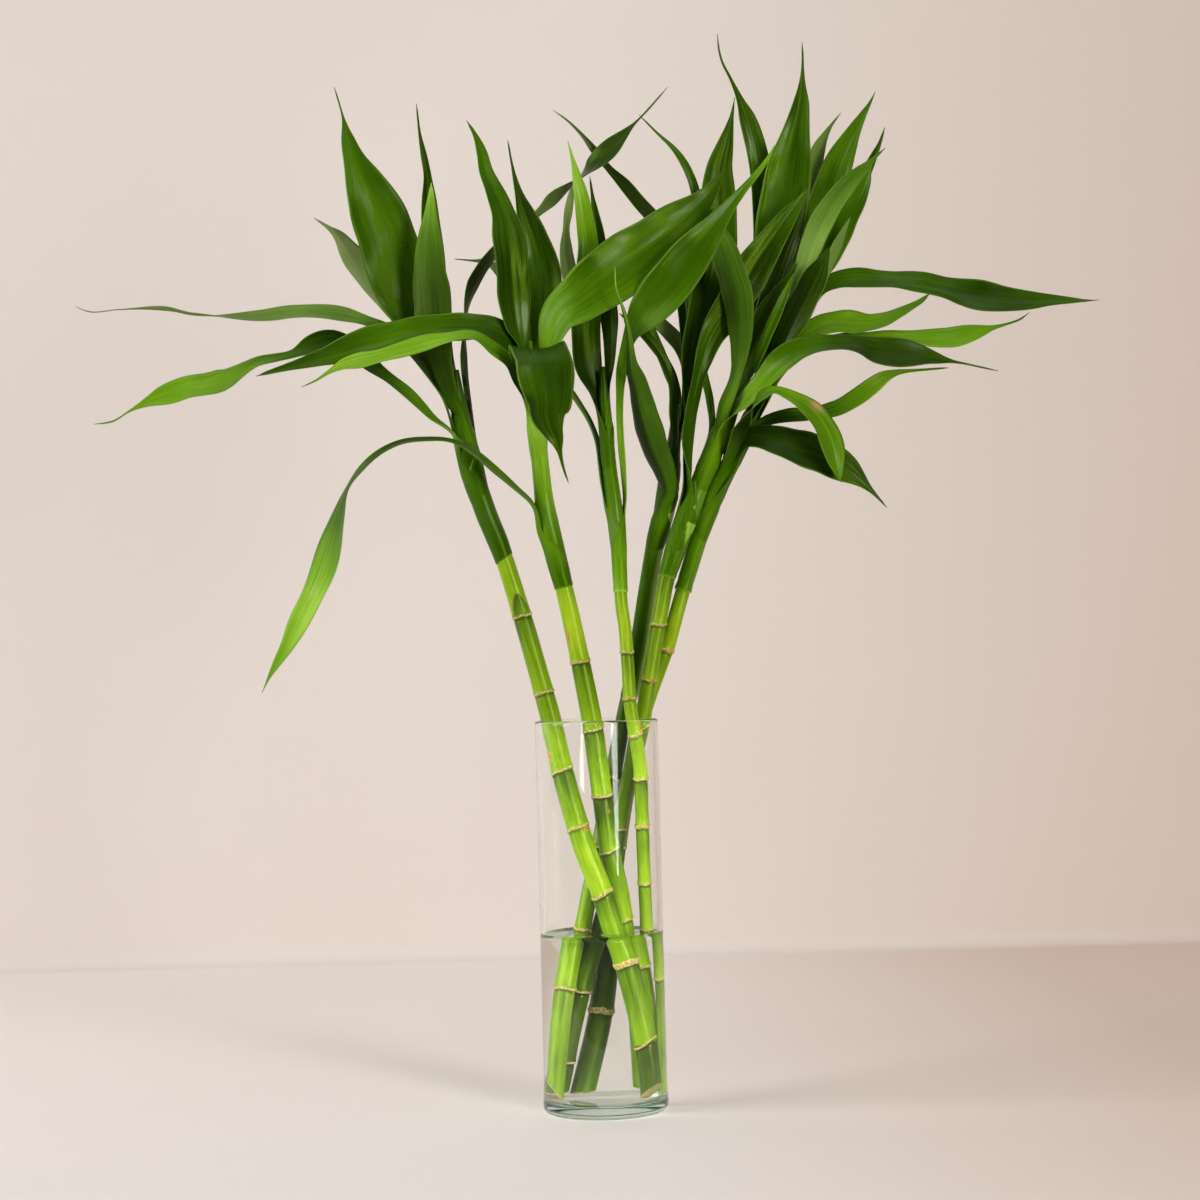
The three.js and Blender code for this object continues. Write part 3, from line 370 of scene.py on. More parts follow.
def emboss(tree, shader, relief, strength):
    """Light the skin as if a relief stood out of it by up to 0.3 mm."""
    bumps = add_node(tree, "ShaderNodeBump", Strength=strength, Distance=0.0003, Height=relief)
    tree.links.new(bumps.outputs[0], shader.inputs["Normal"])


leaf_skin, tree, shader = new_material("leaf_skin")
skin = attribute(tree, "skin", "Vector")
across = attribute(tree, "across")
upper = attribute(tree, "upper")
long_fibres = place_group(tree, fibres, Skin=skin, Fineness=1.5, Stretch=0.02, Contrast=0.34)
patches = place_group(tree, clouds, Skin=skin, Size=16.0, Contrast=0.3)
# tone: the leaf's own green and painted light and shade, with fibres and clouds laid over it.
tone = plus(tree, attribute(tree, "tone"), plus(tree, long_fibres["Streak"], patches["Cloud"]))
green = ramp(tree, tone, GREENS)
grey = ramp(tree, tone, GREY_AND_SHEEN)
under = maths(tree, "SUBTRACT", 1.0, upper, clamp=True)
# Greyer where the underside shows, and where a painted sheen is laid on a leaf or shoot.
skin_colour = mixed(tree, attribute(tree, "grey_and_sheen"), green, grey)
edge = remap(tree, maths(tree, "ABSOLUTE", across), 0.9, 1.0, 0.0, 0.55)
skin_colour = mixed(tree, edge, skin_colour, PALE_MARGIN)
skin_colour = mixed(tree, attribute(tree, "spot"), skin_colour, BROWN_SPOT)
dust = place_group(tree, specks, Skin=skin, Spacing=7.0, Radius=0.035)
skin_colour = mixed(tree, times(tree, dust["Speck"], 0.4), skin_colour, LEAF_DUST)
tree.links.new(skin_colour, shader.inputs["Base Color"])
satin = plus(tree, times(tree, under, 0.14), plus(tree, 0.36, patches["Cloud"]))
tree.links.new(satin, shader.inputs["Roughness"])
shader.inputs["Specular IOR Level"].default_value = 0.4
shader.inputs["Specular Tint"].default_value = (0.5, 0.85, 0.05, 1)
gloss = place_group(tree, clouds, Skin=skin, Size=11.0, Contrast=1.0)["Cloud"]
tree.links.new(times(tree, remap(tree, gloss, 0.0, 0.2, 0.0, 0.4), upper), shader.inputs["Coat Weight"])
shader.inputs["Coat Roughness"].default_value = 0.3
emboss(tree, shader, plus(tree, long_fibres["Height"], times(tree, patches["Cloud"], 1.5)), 0.35)
print("leaf_skin has", len(tree.nodes), "nodes")

# %% [markdown]
# ## The cane's skin
#
# Between two leaf scars a cane goes from yellow-green at the bottom to a deeper green just under the next
# scar. How light it is was noted height by height, is stored on the points as "tone" and looked up in a row
# of greens; that tone is partly the cane's own green and partly painted light and shade. A scar is a thin
# cream line with a brown edge, and the slanting cut of the foot shows pale flesh.

# %% Cane material
CANE_GREENS = [
    (0.0, colour(26, 44, 0)), (0.3, colour(68, 102, 3)), (0.55, colour(122, 160, 12)),
    (0.8, colour(168, 200, 32)), (1.0, colour(206, 226, 100)),
]

SCAR_COLOURS = [(0.32, colour(132, 92, 40)), (0.5, colour(200, 176, 104)), (0.68, colour(232, 220, 168))]
WOUND_COLOURS = [(0.3, colour(122, 66, 22)), (0.55, colour(206, 142, 66)), (0.7, colour(226, 200, 120))]
CANE_DUST = colour(206, 222, 150)

cane_skin, tree, shader = new_material("cane_skin")
skin = attribute(tree, "skin", "Vector")
run = place_group(tree, fibres, Skin=skin, Fineness=0.9, Stretch=0.05, Contrast=0.4)
patches = place_group(tree, clouds, Skin=skin, Size=9.0, Contrast=0.4)
# tone: the cane's own green with painted light and shade, including the painted shade under each scar and inside
# the vase.
tone = plus(tree, attribute(tree, "tone"), plus(tree, run["Streak"], patches["Cloud"]))
skin_colour = ramp(tree, tone, CANE_GREENS)
flecks = add_node(tree, "ShaderNodeTexNoise", Vector=skin, Scale=1.4, Detail=3.0).outputs["Fac"]
uneven = maths(tree, "SUBTRACT", flecks, 0.5)
scar = remap(tree, plus(tree, attribute(tree, "scar"), times(tree, uneven, 0.9)), 0.4, 0.62)
skin_colour = mixed(tree, scar, skin_colour, ramp(tree, flecks, SCAR_COLOURS))
wound = remap(tree, plus(tree, attribute(tree, "spot"), times(tree, uneven, 1.2)), 0.45, 0.75, 0.0, 0.85)
skin_colour = mixed(tree, wound, skin_colour, ramp(tree, flecks, WOUND_COLOURS))
dust = place_group(tree, specks, Skin=skin, Spacing=6.0, Radius=0.04)
skin_colour = mixed(tree, times(tree, dust["Speck"], 0.5), skin_colour, CANE_DUST)
tree.links.new(skin_colour, shader.inputs["Base Color"])
waxy = plus(tree, 0.34, plus(tree, times(tree, scar, 0.35), times(tree, patches["Cloud"], 0.5)))
tree.links.new(waxy, shader.inputs["Roughness"])
shader.inputs["Specular IOR Level"].default_value = 0.45
shader.inputs["Specular Tint"].default_value = (0.95, 1.0, 0.3, 1)
crumbs = times(tree, times(tree, flecks, scar), 2.0)
emboss(tree, shader, plus(tree, times(tree, run["Height"], 0.5), crumbs), 0.4)
print("cane_skin has", len(tree.nodes), "nodes")

# %% [markdown]
# ## Glass and water
#
# Both are clear, so what makes them look real is bending and mirroring light, which the Principled shader
# does from a transmission weight of 1 and the right index: 1.5 for glass, 1.33 for water. Rays from lamps
# can't be traced through bent surfaces in reasonable time, so for them alone a Transparent shader lets the
# light straight through. Otherwise the canes inside would stand in a black shadow. A ray that has been
# mirrored inside the foot four times would be given up as black, so it too goes straight on, a bit greener.

# %% Glass and water materials
MIRRORED, BOUNCED = 4, 10  # a ray goes straight on after so many mirrorings, or so many bounces in all
STRAIGHT_ON = (0.5, 0.62, 0.55, 1)


def one_of(tree, second, a, b):
    """Shader a, or shader b where second is 1."""
    made = add_node(tree, "ShaderNodeMixShader", Fac=second)
    tree.links.new(a.outputs[0], made.inputs[1])
    tree.links.new(b.outputs[0], made.inputs[2])
    return made


def clear_material(name, index, tints, deep, zone, haze):
    """Clear stuff: its tint drifts between two colours, and turns deep in a zone of (radius, low, high) in mm.

    The zone is everything further from the axis than the radius and between the two heights, softly. haze
    is how rough the faintly smeared places get.
    """
    radius, low, high = zone
    material, tree, shader = new_material(name)
    place = add_node(tree, "ShaderNodeTexCoord").outputs["Object"]
    millimetres = scaled(tree, place, (1000, 1000, 1000))
    drift = place_group(tree, clouds, Skin=millimetres, Size=24.0, Contrast=1.0)["Cloud"]
    xyz = add_node(tree, "ShaderNodeSeparateXYZ", Vector=millimetres).outputs
    flat = add_node(tree, "ShaderNodeCombineXYZ", X=xyz[0], Y=xyz[1]).outputs[0]
    out = add_node(tree, "ShaderNodeVectorMath", {"operation": "LENGTH"}, i0=flat).outputs["Value"]
    inside = [
        remap(tree, out, radius - 1.5, radius + 1.5),
        remap(tree, xyz[2], low - 0.8, low),
        remap(tree, xyz[2], high, high + 1.5, 1.0, 0.0),
    ]
    amount = times(tree, times(tree, inside[0], inside[1]), inside[2])
    clear = mixed(tree, plus(tree, drift, 0.5), *tints)
    tree.links.new(mixed(tree, amount, clear, deep), shader.inputs["Base Color"])
    smears = place_group(tree, fibres, Skin=millimetres, Fineness=0.5, Stretch=0.08, Contrast=haze)["Streak"]
    tree.links.new(maths(tree, "MAXIMUM", smears, 0.0), shader.inputs["Roughness"])
    shader.inputs["IOR"].default_value = index
    shader.inputs["Transmission Weight"].default_value = 1.0
    shader.inputs["Specular Tint"].default_value = (0.5, 0.5, 0.5, 1)
    through = add_node(tree, "ShaderNodeBsdfTransparent", Color=(*tints[0], 1))
    ray = add_node(tree, "ShaderNodeLightPath").outputs
    deepest = maths(tree, "SUBTRACT", ray["Ray Depth"], BOUNCED - MIRRORED)
    lost = maths(tree, "GREATER_THAN", maths(tree, "MAXIMUM", ray["Glossy Depth"], deepest), MIRRORED - 0.5)
    onward = add_node(tree, "ShaderNodeBsdfTransparent", Color=STRAIGHT_ON)
    kept = one_of(tree, lost, shader, onward)
    both = one_of(tree, ray["Is Shadow Ray"], kept, through)
    tree.links.new(both.outputs[0], tree.nodes["Material Output"].inputs["Surface"])
    return material


vase_glass = clear_material(
    "vase_glass", 1.5, [(0.99, 0.995, 0.99), (0.975, 0.985, 0.975)], (0.66, 0.8, 0.73), (0.0, -2.0, 6.0), 0.012)
# Near the glass, in the top few millimetres of the water, the tint turns olive green: a painted reflection of the
# plant's green in the ring round the surface.
vase_water = clear_material(
    "vase_water", 1.333, [(0.99, 0.995, 0.975), (0.98, 0.99, 0.965)], (0.5, 0.68, 0.3), (16.0, 88.3, 95.0), 0.004)
print("clear materials:", vase_glass.name, vase_water.name)

# %% [markdown]
# ## The canes
#
# Each cane is one natural stem. Its line through space, its thickness and the heights of its leaf scars
# are the same numbers as in the imported model, in millimetres. A lathe could make a straight one,
# but these bend, so a ring of points is carried along the bent line and its radius changes with height:
# a swollen, tilted lip at every scar, a shallow groove under it, and a slanting cut at the foot.

# %% The six canes in numbers
# axis: (right, up, back). radius: (height, radius). sheath: where the bare cane ends. lip: how far the
# lowest sheath's edge slants, in degrees. collar: how far it stands out, in mm.
# scars: (height, tilt in degrees, half width). greens: (height, how light the green is), partly the cane's
# own green and partly painted light and shade.
# marks: (height, degrees round the cane, half height, half width) of healed brown wounds.
# cut: (rise of the slanting cut, degrees where it is highest). shoot: tones from the sheath to the tip,
# partly own green and partly painted light and shade.
# lit: how much lighter a shoot is on its lit side. throats: (low, high, degrees, half width at the top).
CANES = {
    "a": dict(
        axis=[
            (20, 5.9, -9), (19.5, 20, -9.5), (17.8, 35, -10), (15, 50, -10.5), (9.8, 75, -11.5), (6.2, 88, -12),
            (0.5, 109, -13), (-7, 130, -12.5), (-12.5, 150, -11), (-17.3, 170, -8.5), (-22, 193, -5),
            (-28.5, 220, -4), (-36.3, 250, -4), (-45, 280, -5), (-52.5, 300, -5), (-58.5, 320, -5),
            (-62.5, 340, -5), (-64.5, 355, -5), (-66, 372, -5)],
        radius=[(0, 5.4), (150, 5.4), (200, 5), (276, 4.6), (300, 4.9), (325, 4.8), (345, 4), (372, 1.2)],
        sheath=276, lip=16, cut=(7, 330),
        scars=[
            (35, 22, 0.6), (75, 4, 1.5), (109, 11, 0.7), (142, 6, 0.6), (170, 11, 0.6), (209, 0, 0.6),
            (247.5, -2, 0.6)],
        greens=[
            (5, 0.3), (34.5, 0.2), (35.5, 0.58), (55, 0.5), (74, 0.36), (76, 0.6), (95, 0.56), (108, 0.3),
            (110, 0.7), (130, 0.66), (141, 0.54), (143, 0.64), (156, 0.52), (169, 0.34), (171, 0.64),
            (190, 0.6), (208, 0.46), (210, 0.58), (230, 0.5), (247, 0.26), (248, 0.6), (262, 0.68), (276, 0.6)],
        marks=[(178, 215, 4, 2.2), (141, 320, 2, 2.5), (252, 226, 4, 1.2)],
        shoot=[0.36, 0.42, 0.46, 0.5, 0.45, 0.3], collar=0.12,
    ),
    "b": dict(
        axis=[
            (14, 9.3, 12), (13.8, 30, 9), (13.5, 50, 6), (12.5, 75, 2), (11.5, 88, 0), (9, 109, -3),
            (5, 130, -5), (2.8, 150, -6), (0.6, 170, -6), (-2, 193, -6.5), (-6.8, 222, -7), (-12, 250, -8),
            (-18.5, 280, -9), (-22.5, 300, -9.5), (-24.5, 322, -10), (-26, 345, -10), (-27.5, 365, -10),
            (-28.5, 386, -10)],
        radius=[(0, 5.1), (200, 5), (261, 4.5), (295, 4.8), (310, 4), (345, 3.6), (386, 1.2)],
        sheath=261, cut=(4, 200),
        scars=[(72, 0, 0.6), (95, 6, 0.6), (130, 14, 0.6), (157, 2, 0.7), (190, 8, 0.6), (224, 0, 0.6)],
        greens=[
            (9, 0.6), (50, 0.55), (71, 0.4), (73, 0.68), (94, 0.52), (96, 0.7), (112, 0.56), (129, 0.42),
            (131, 0.68), (145, 0.42), (156, 0.24), (158, 0.72), (172, 0.58), (189, 0.4), (191, 0.68),
            (205, 0.52), (223, 0.34), (225, 0.66), (240, 0.72), (261, 0.7)],
        marks=[(237, 228, 6, 1.5), (150, 300, 1.5, 1)],
        shoot=[0.48, 0.58, 0.75, 0.85, 0.8, 0.5], collar=0.2,
    ),
    "c": dict(
        axis=[
            (22.3, 7.7, 6), (22.5, 30, 5), (22.6, 50, 4), (22.5, 88, 0), (22, 109, -3), (21.6, 130, -5),
            (21.3, 150, -6.5), (21, 170, -8), (18.6, 190, -10), (17.2, 203, -10), (16.6, 220, -9),
            (15.6, 240, -8), (14.2, 252, -7), (13.8, 265, -6), (13.4, 280, -5), (12, 300, -4), (10, 320, -3),
            (9, 340, -3), (8.2, 355, -3), (8, 372, -3)],
        radius=[(0, 3.3), (258, 3.2), (300, 3.5), (330, 3), (355, 2), (372, 1)],
        sheath=258, cut=(3, 0),
        scars=[
            (65, 4, 0.6), (90, 0, 0.6), (113, 0, 0.6), (141.5, 2, 0.9), (165, 0, 0.6), (187, 8, 0.7),
            (205, 0, 0.6), (228, 0, 0.6)],
        greens=[
            (8, 0.6), (64, 0.48), (66, 0.66), (89, 0.5), (91, 0.7), (112, 0.54), (114, 0.74), (140, 0.5),
            (143, 0.72), (155, 0.55), (164, 0.36), (166, 0.74), (186, 0.62), (188, 0.72), (204, 0.58),
            (206, 0.64), (227, 0.46), (229, 0.68), (258, 0.6)],
        marks=[(190, 330, 4, 1.4)],
        shoot=[0.82, 0.66, 0.55, 0.5, 0.5, 0.3], collar=0.35,
    ),
    "d": dict(
        axis=[
            (-21.3, 6.7, -3), (-16.5, 50, -2), (-10, 88, 3), (-5.5, 109, 6), (4, 150, 12.6), (8.5, 170, 14.1),
            (13.5, 193, 14), (20.5, 222, 13), (27.5, 260, 11), (31.5, 280, 9), (37.3, 300, 7), (40.3, 316, 6),
            (42.5, 335, 6), (44.5, 352, 6)],
        radius=[(0, 4.3), (205, 4.1), (275, 4), (296, 4.7), (316, 4.2), (335, 2.4), (352, 1)],
        sheath=205, cut=(8, 170),
        scars=[(62, 0, 0.7), (90, 0, 0.7), (130, 0, 0.6), (165, 0, 0.6)],
        greens=[
            (6, 0.6), (61, 0.52), (63, 0.62), (89, 0.5), (91, 0.55), (129, 0.42), (131, 0.45), (164, 0.32),
            (166, 0.36), (205, 0.26)],
        marks=[(60, 340, 1.5, 2)],
        shoot=[0.26, 0.34, 0.52, 0.58, 0.4, 0.3], collar=0.1, lit=0.7,
    ),
    "e": dict(
        axis=[
            (-17, 8.6, 9), (-10.5, 50, 7), (-2, 88, 8), (4, 109, 9), (12, 150, 5), (17.5, 172, 1),
            (23, 193, -2.5), (26.4, 212, -3), (30, 230, -3), (34, 250, -3), (37.2, 265, -3), (43.2, 282, -2),
            (49.3, 297, -1), (57.2, 316, 0), (65.7, 335, 0), (72, 350, 0), (76.5, 366, 0)],
        radius=[
            (0, 4.1), (245, 3.9), (265, 4.2), (285, 4.9), (300, 4.6), (316, 4), (335, 3.7), (350, 2.6),
            (366, 1.1)],
        sheath=265, cut=(3, 0),
        scars=[
            (25, 0, 0.6), (60, 0, 0.6), (100, 0, 0.6), (140, 0, 0.6), (190, 38, 0.6), (214, -2, 0.6),
            (241.5, 9, 0.7)],
        greens=[
            (8, 0.3), (24, 0.22), (26, 0.34), (59, 0.22), (61, 0.36), (99, 0.26), (101, 0.44), (139, 0.34),
            (141, 0.5), (188, 0.42), (192, 0.62), (213, 0.46), (215, 0.62), (241, 0.44), (242, 0.56),
            (265, 0.44)],
        marks=[(213.5, 300, 1.5, 2.4)],
        shoot=[0.5, 0.5, 0.56, 0.6, 0.55, 0.4], collar=0.1, lit=0.1,
        throats=[(281, 293, 304, 3.2)],
    ),
    "f": dict(
        axis=[
            (-8, 8.9, 10), (-1, 50, 12), (2.5, 88, 17), (6, 109, 18), (13, 150, 14.5), (17.5, 172, 10.8),
            (22.3, 193, 7.6), (27, 207, 6), (33, 222, 5.2), (37, 232, 4), (40.4, 243, 2), (45.3, 259, 2),
            (49.6, 272, 2), (55.8, 290, 2), (63.8, 309, 1), (72.5, 326, 0), (79.5, 340, 0), (84, 354, 0),
            (86, 362, 0)],
        radius=[(0, 4.1), (200, 4), (258, 3.7), (300, 3.9), (326, 3.6), (340, 3), (354, 1.8), (362, 1.1)],
        sheath=258, cut=(3, 0),
        scars=[(49.5, -5, 1.5), (92, 0, 0.6), (130, 0, 0.6), (165, 0, 0.6), (189, 0, 0.6), (229, 0, 0.9)],
        greens=[
            (8, 0.42), (30, 0.3), (48.5, 0.2), (51, 0.34), (70, 0.2), (91, 0.14), (93, 0.42), (129, 0.3),
            (131, 0.5), (164, 0.4), (166, 0.6), (188, 0.46), (190, 0.66), (228, 0.52), (230, 0.7), (258, 0.56)],
        marks=[(229.5, 318, 2, 2.8)],
        shoot=[0.56, 0.6, 0.52, 0.46, 0.4, 0.3], collar=0.6, lit=0.1,
    ),
}
SHEATH_STEP = 0.5  # mm that the lowest sheath stands out from the cane
for cane in CANES.values():
    cane["line"] = catmull_rom(seen(cane["axis"]), 24)
    cane["ahead"] = unit(np.gradient(cane["line"], axis=0))
    cane["foot"], cane["tip"] = cane["line"][0, 2], cane["line"][-1, 2]
print("cane lengths in mm:", {k: round(float(lengths(c["line"])[-1])) for k, c in CANES.items()})

# %% Read a cane at any height
def read_pairs(pairs, height):
    """Straight lines between (height, value) pairs."""
    noted = np.array(pairs, float)
    return np.interp(height, noted[:, 0], noted[:, 1])


def cane_at(cane, height):
    """Middle and direction of a cane at heights, read from its line (heights only grow along a cane)."""
    z = cane["line"][:, 2]
    middle = np.stack([np.interp(height, z, column) for column in cane["line"].T], -1)
    ahead = np.stack([np.interp(height, z, column) for column in cane["ahead"].T], -1)
    return middle, unit(ahead)


def plain_radius(cane, height):
    """Radius without scars, and a step more from the lowest sheath up."""
    return read_pairs(cane["radius"], height) + SHEATH_STEP * (np.asarray(height) > cane["sheath"])


def shoot_tone(cane, height):
    """How light a sheathed shoot is at heights, evenly spaced tones from its lowest sheath to its tip."""
    share = (np.asarray(height) - cane["sheath"]) / (cane["tip"] - cane["sheath"])
    return np.interp(share, np.linspace(0, 1, len(cane["shoot"])), cane["shoot"])


ROUND = 40
angles = np.linspace(0, 2 * np.pi, ROUND, endpoint=False)


def round_table(cane, heights, radii, turn=angles):
    """Points round a cane: middle + radius (side cos a + back sin a), for a table of heights and radii."""
    middle, ahead = cane_at(cane, heights)
    side = unit(np.cross([0.0, 1.0, 0.0], ahead))
    back = np.cross(ahead, side)
    reach = side * np.cos(turn)[..., None] + back * np.sin(turn)[..., None]
    return middle + radii[..., None] * reach


def round_skin(radii, heights, turn=angles):
    """What the skin's fibres and clouds follow on a cane: as if it stood straight, in mm."""
    return np.stack([radii * np.cos(turn), radii * np.sin(turn), heights], -1)


def away_from(degrees, radii):
    """How far round a cane its points lie from the line at some degrees, in mm, from -half to +half round."""
    return radii * ((angles - np.radians(degrees) + np.pi) % (2 * np.pi) - np.pi)


# %% Shape of a leaf scar
def scar_swell(above, width):
    """How far the skin stands out at a distance above a scar, in mm.

    A bell curve on the scar, an outward flare that dies away above it, and a shallow groove below it.
    """
    lip = 0.38 * np.exp(-((above / (width + 0.15)) ** 2))
    flare = 0.28 * np.exp(-np.abs(above) / 2.6) * smoothstep(above, -0.4, 0.3)
    groove = 0.2 * np.exp(-(((above + width + 0.9) / 0.6) ** 2))
    return lip + flare - groove


chance = np.random.default_rng(7)
print("a scar stands out", round(float(scar_swell(np.array(0.1), 0.6)), 2), "mm")

# %% Make the canes
RING_STEP, SCAR_STEP = 2.0, 0.3  # height between rings of points, and between those round a scar
# Painted shade: a cane is painted darker inside the vase.
VASE_SHADE = 0.06  # how much darker a cane is inside the vase


def stem(letter, cane):
    """The bare cane, from its slanting cut foot to just inside the lowest sheath.

    The cut lifts the lowest rings by a cosine of the angle, and the lift fades out above them. A scar's line
    tilts and wanders a little, by sines of three and seven waves round the cane.
    """
    foot, top = cane["foot"], cane["sheath"] + 4
    rings = [np.arange(foot + 2, top, RING_STEP)]
    rings += [scar + np.arange(-3.5, 4.5, SCAR_STEP) for scar, _, _ in cane["scars"]]
    heights = np.sort(np.concatenate(rings))
    heights = heights[(heights > foot + 1) & (heights < top)]
    heights = np.concatenate([foot + np.array([0.0, 0.02, 0.35]), heights])
    rise, highest = cane["cut"]
    lift = rise * (0.5 + 0.5 * np.cos(angles - np.radians(highest)))
    grid = heights[:, None] + lift * (1 - smoothstep(heights, foot, foot + 2.2 * rise + 4))[:, None]
    radii = read_pairs(cane["radius"], grid)
    scar, under_scar_shade = np.zeros_like(grid), np.zeros_like(grid)
    for height, tilt, width in cane["scars"]:
        wander = chance.uniform(0, 2 * np.pi)
        slope = np.tan(np.radians(tilt)) * radii * np.cos(angles)
        above = grid - height - slope - 0.22 * np.sin(3 * angles + wander) - 0.12 * np.sin(7 * angles - wander)
        radii = radii + scar_swell(above, width)
        scar = np.maximum(scar, np.exp(-((above / width) ** 4)))
        under_scar_shade = np.maximum(under_scar_shade, np.exp(-(((above + width + 0.7) / 0.7) ** 2)))
    # Painted shade: the groove just under each scar is painted darker.
    tone = read_pairs(cane["greens"], grid) - 0.14 * under_scar_shade - VASE_SHADE * smoothstep(-grid, -200, -190)
    spot = np.zeros_like(grid)
    for height, degrees, tall, wide in cane["marks"]:
        apart = away_from(degrees, radii)
        spot = np.maximum(spot, np.exp(-(((grid - height) / tall) ** 2) - (apart / wide) ** 2))
    radii = radii * (1 + 0.015 * np.cos(2 * angles + heights[:, None] / 30))
    # The two lowest rings round off the cut's edge, and the flesh on the cut is as pale as a scar.
    radii[0] *= 0.6
    radii[1] -= 0.3
    scar[:2] = 1
    scar[2] = 0.5
    facts = dict(tone=tone, scar=scar, spot=spot, skin=round_skin(radii, grid))
    return closed_tube(
        "stem_" + letter, round_table(cane, grid, radii), facts, cane_skin, ["cane_" + letter])


stems = {letter: stem(letter, cane) for letter, cane in CANES.items()}
print("stems:", {k: len(o.data.polygons) for k, o in stems.items()}, "faces")

# %% [markdown]
# ## The sheathed shoots
#
# Above the last scar a cane is wrapped in the sheaths of its leaves, which makes it thicker and dark green.
# The lowest sheath ends in a thin rounded lip, and above it swells to half a millimetre more than the cane.

# %% Make the shoots
LIT_AT, LIT_OVER = 328, 34  # degrees round a shoot where it is lit, and how many degrees wide
YOUNG, SWOLLEN = 0.86, 0.9  # how light the stem in a throat is, and how far it stands out in mm


def shoot(letter, cane):
    """The sheathed top of a cane: the same rings of points, from the lip of its lowest sheath to its tip.

    At the lip it stands out in a collar, draws in behind it and swells to its full step over 9 mm. A throat
    is the V between two sheath edges where the bright young stem shows.
    """
    start = cane["sheath"]
    heights = np.concatenate([start + np.array([0, 0.05, 0.2, 0.5, 1.0]), np.arange(start + 2, cane["tip"], 1.0)])
    slope = np.tan(np.radians(cane.get("lip", 0))) * plain_radius(cane, start) * np.cos(angles)
    grid = heights[:, None] + slope * (1 - smoothstep(heights, start, start + 12))[:, None]
    radii = plain_radius(cane, heights + 0.01)[:, None] + np.zeros(ROUND)
    radii[:3] -= np.array([0.9, 0.3, 0.08])[:, None]
    radii -= 0.34 * (1 - smoothstep(heights, start, start + 9))[:, None]
    radii += cane["collar"] * np.exp(-(((heights - start - 0.8) / 2.2) ** 2))[:, None]
    skin = round_skin(radii, grid)
    flat = np.zeros_like(grid)
    # Painted highlights: a thin lighter line along the lowest sheath's lip, and a lighter, greyer stripe on the
    # lit side of the shoot.
    lip_highlight = np.exp(-(((heights - start) / 0.7) ** 2))[:, None]
    painted_highlight = cane.get("lit", 0) * np.exp(-(((np.degrees(angles) - LIT_AT) / LIT_OVER) ** 2))
    tone = shoot_tone(cane, grid) + painted_highlight + 0.3 * lip_highlight
    for low, high, degrees, wide in cane.get("throats", []):
        apart = np.abs(away_from(degrees, radii))
        share = (grid - low) / (high - low)
        inside = smoothstep(wide * share - apart, -0.4, 0.4) * (1 - smoothstep(share, 0.92, 1.04))
        tone = tone + (YOUNG - tone) * inside
        radii = radii + SWOLLEN * inside
    facts = dict(tone=tone, skin=skin, across=flat, upper=flat + 1, grey_and_sheen=flat + 0.7 * painted_highlight, spot=flat)
    return closed_tube(
        "shoot_" + letter, round_table(cane, grid, radii), facts, leaf_skin, ["leaves_" + letter])


shoots = {letter: shoot(letter, cane) for letter, cane in CANES.items()}
print("shoots:", {k: len(o.data.polygons) for k, o in shoots.items()}, "faces")

# %% The dried bract on the left cane
def bract(height=248.2, tall=11.0, wide=66.0, middle=276.0):
    """A thin pointed scale that clasps the front of cane a above a scar.

    Its half width shrinks with height as 1 - u^1.4, and its tip leans a little away from the cane.
    """
    u = np.linspace(0, 1, 16)[:, None]
    v = np.concatenate([np.linspace(-1, 1, 13), np.linspace(1, -1, 13)[1:-1]])[None]
    outer = np.concatenate([np.ones(13), np.zeros(11)])[None]
    angle = np.radians(middle + wide * v * (1 - 0.96 * u**1.4))
    grid = height + tall * u + 0 * v
    radii = plain_radius(CANES["a"], height) + 0.15 + 0.35 * outer * (1 - v**6) + 0.6 * u**2
    table = round_table(CANES["a"], grid, radii, angle)
    edge = np.maximum(np.abs(v) ** 6, u**8)
    facts = dict(
        tone=0.42 - 0.2 * u + 0 * grid, scar=0 * grid, spot=0.2 + 0.5 * edge,
        skin=round_skin(5.0, grid, angle))
    return closed_tube("bract_a", table, facts, cane_skin, ["cane_a"])


print("bract:", len(bract().data.polygons), "faces")
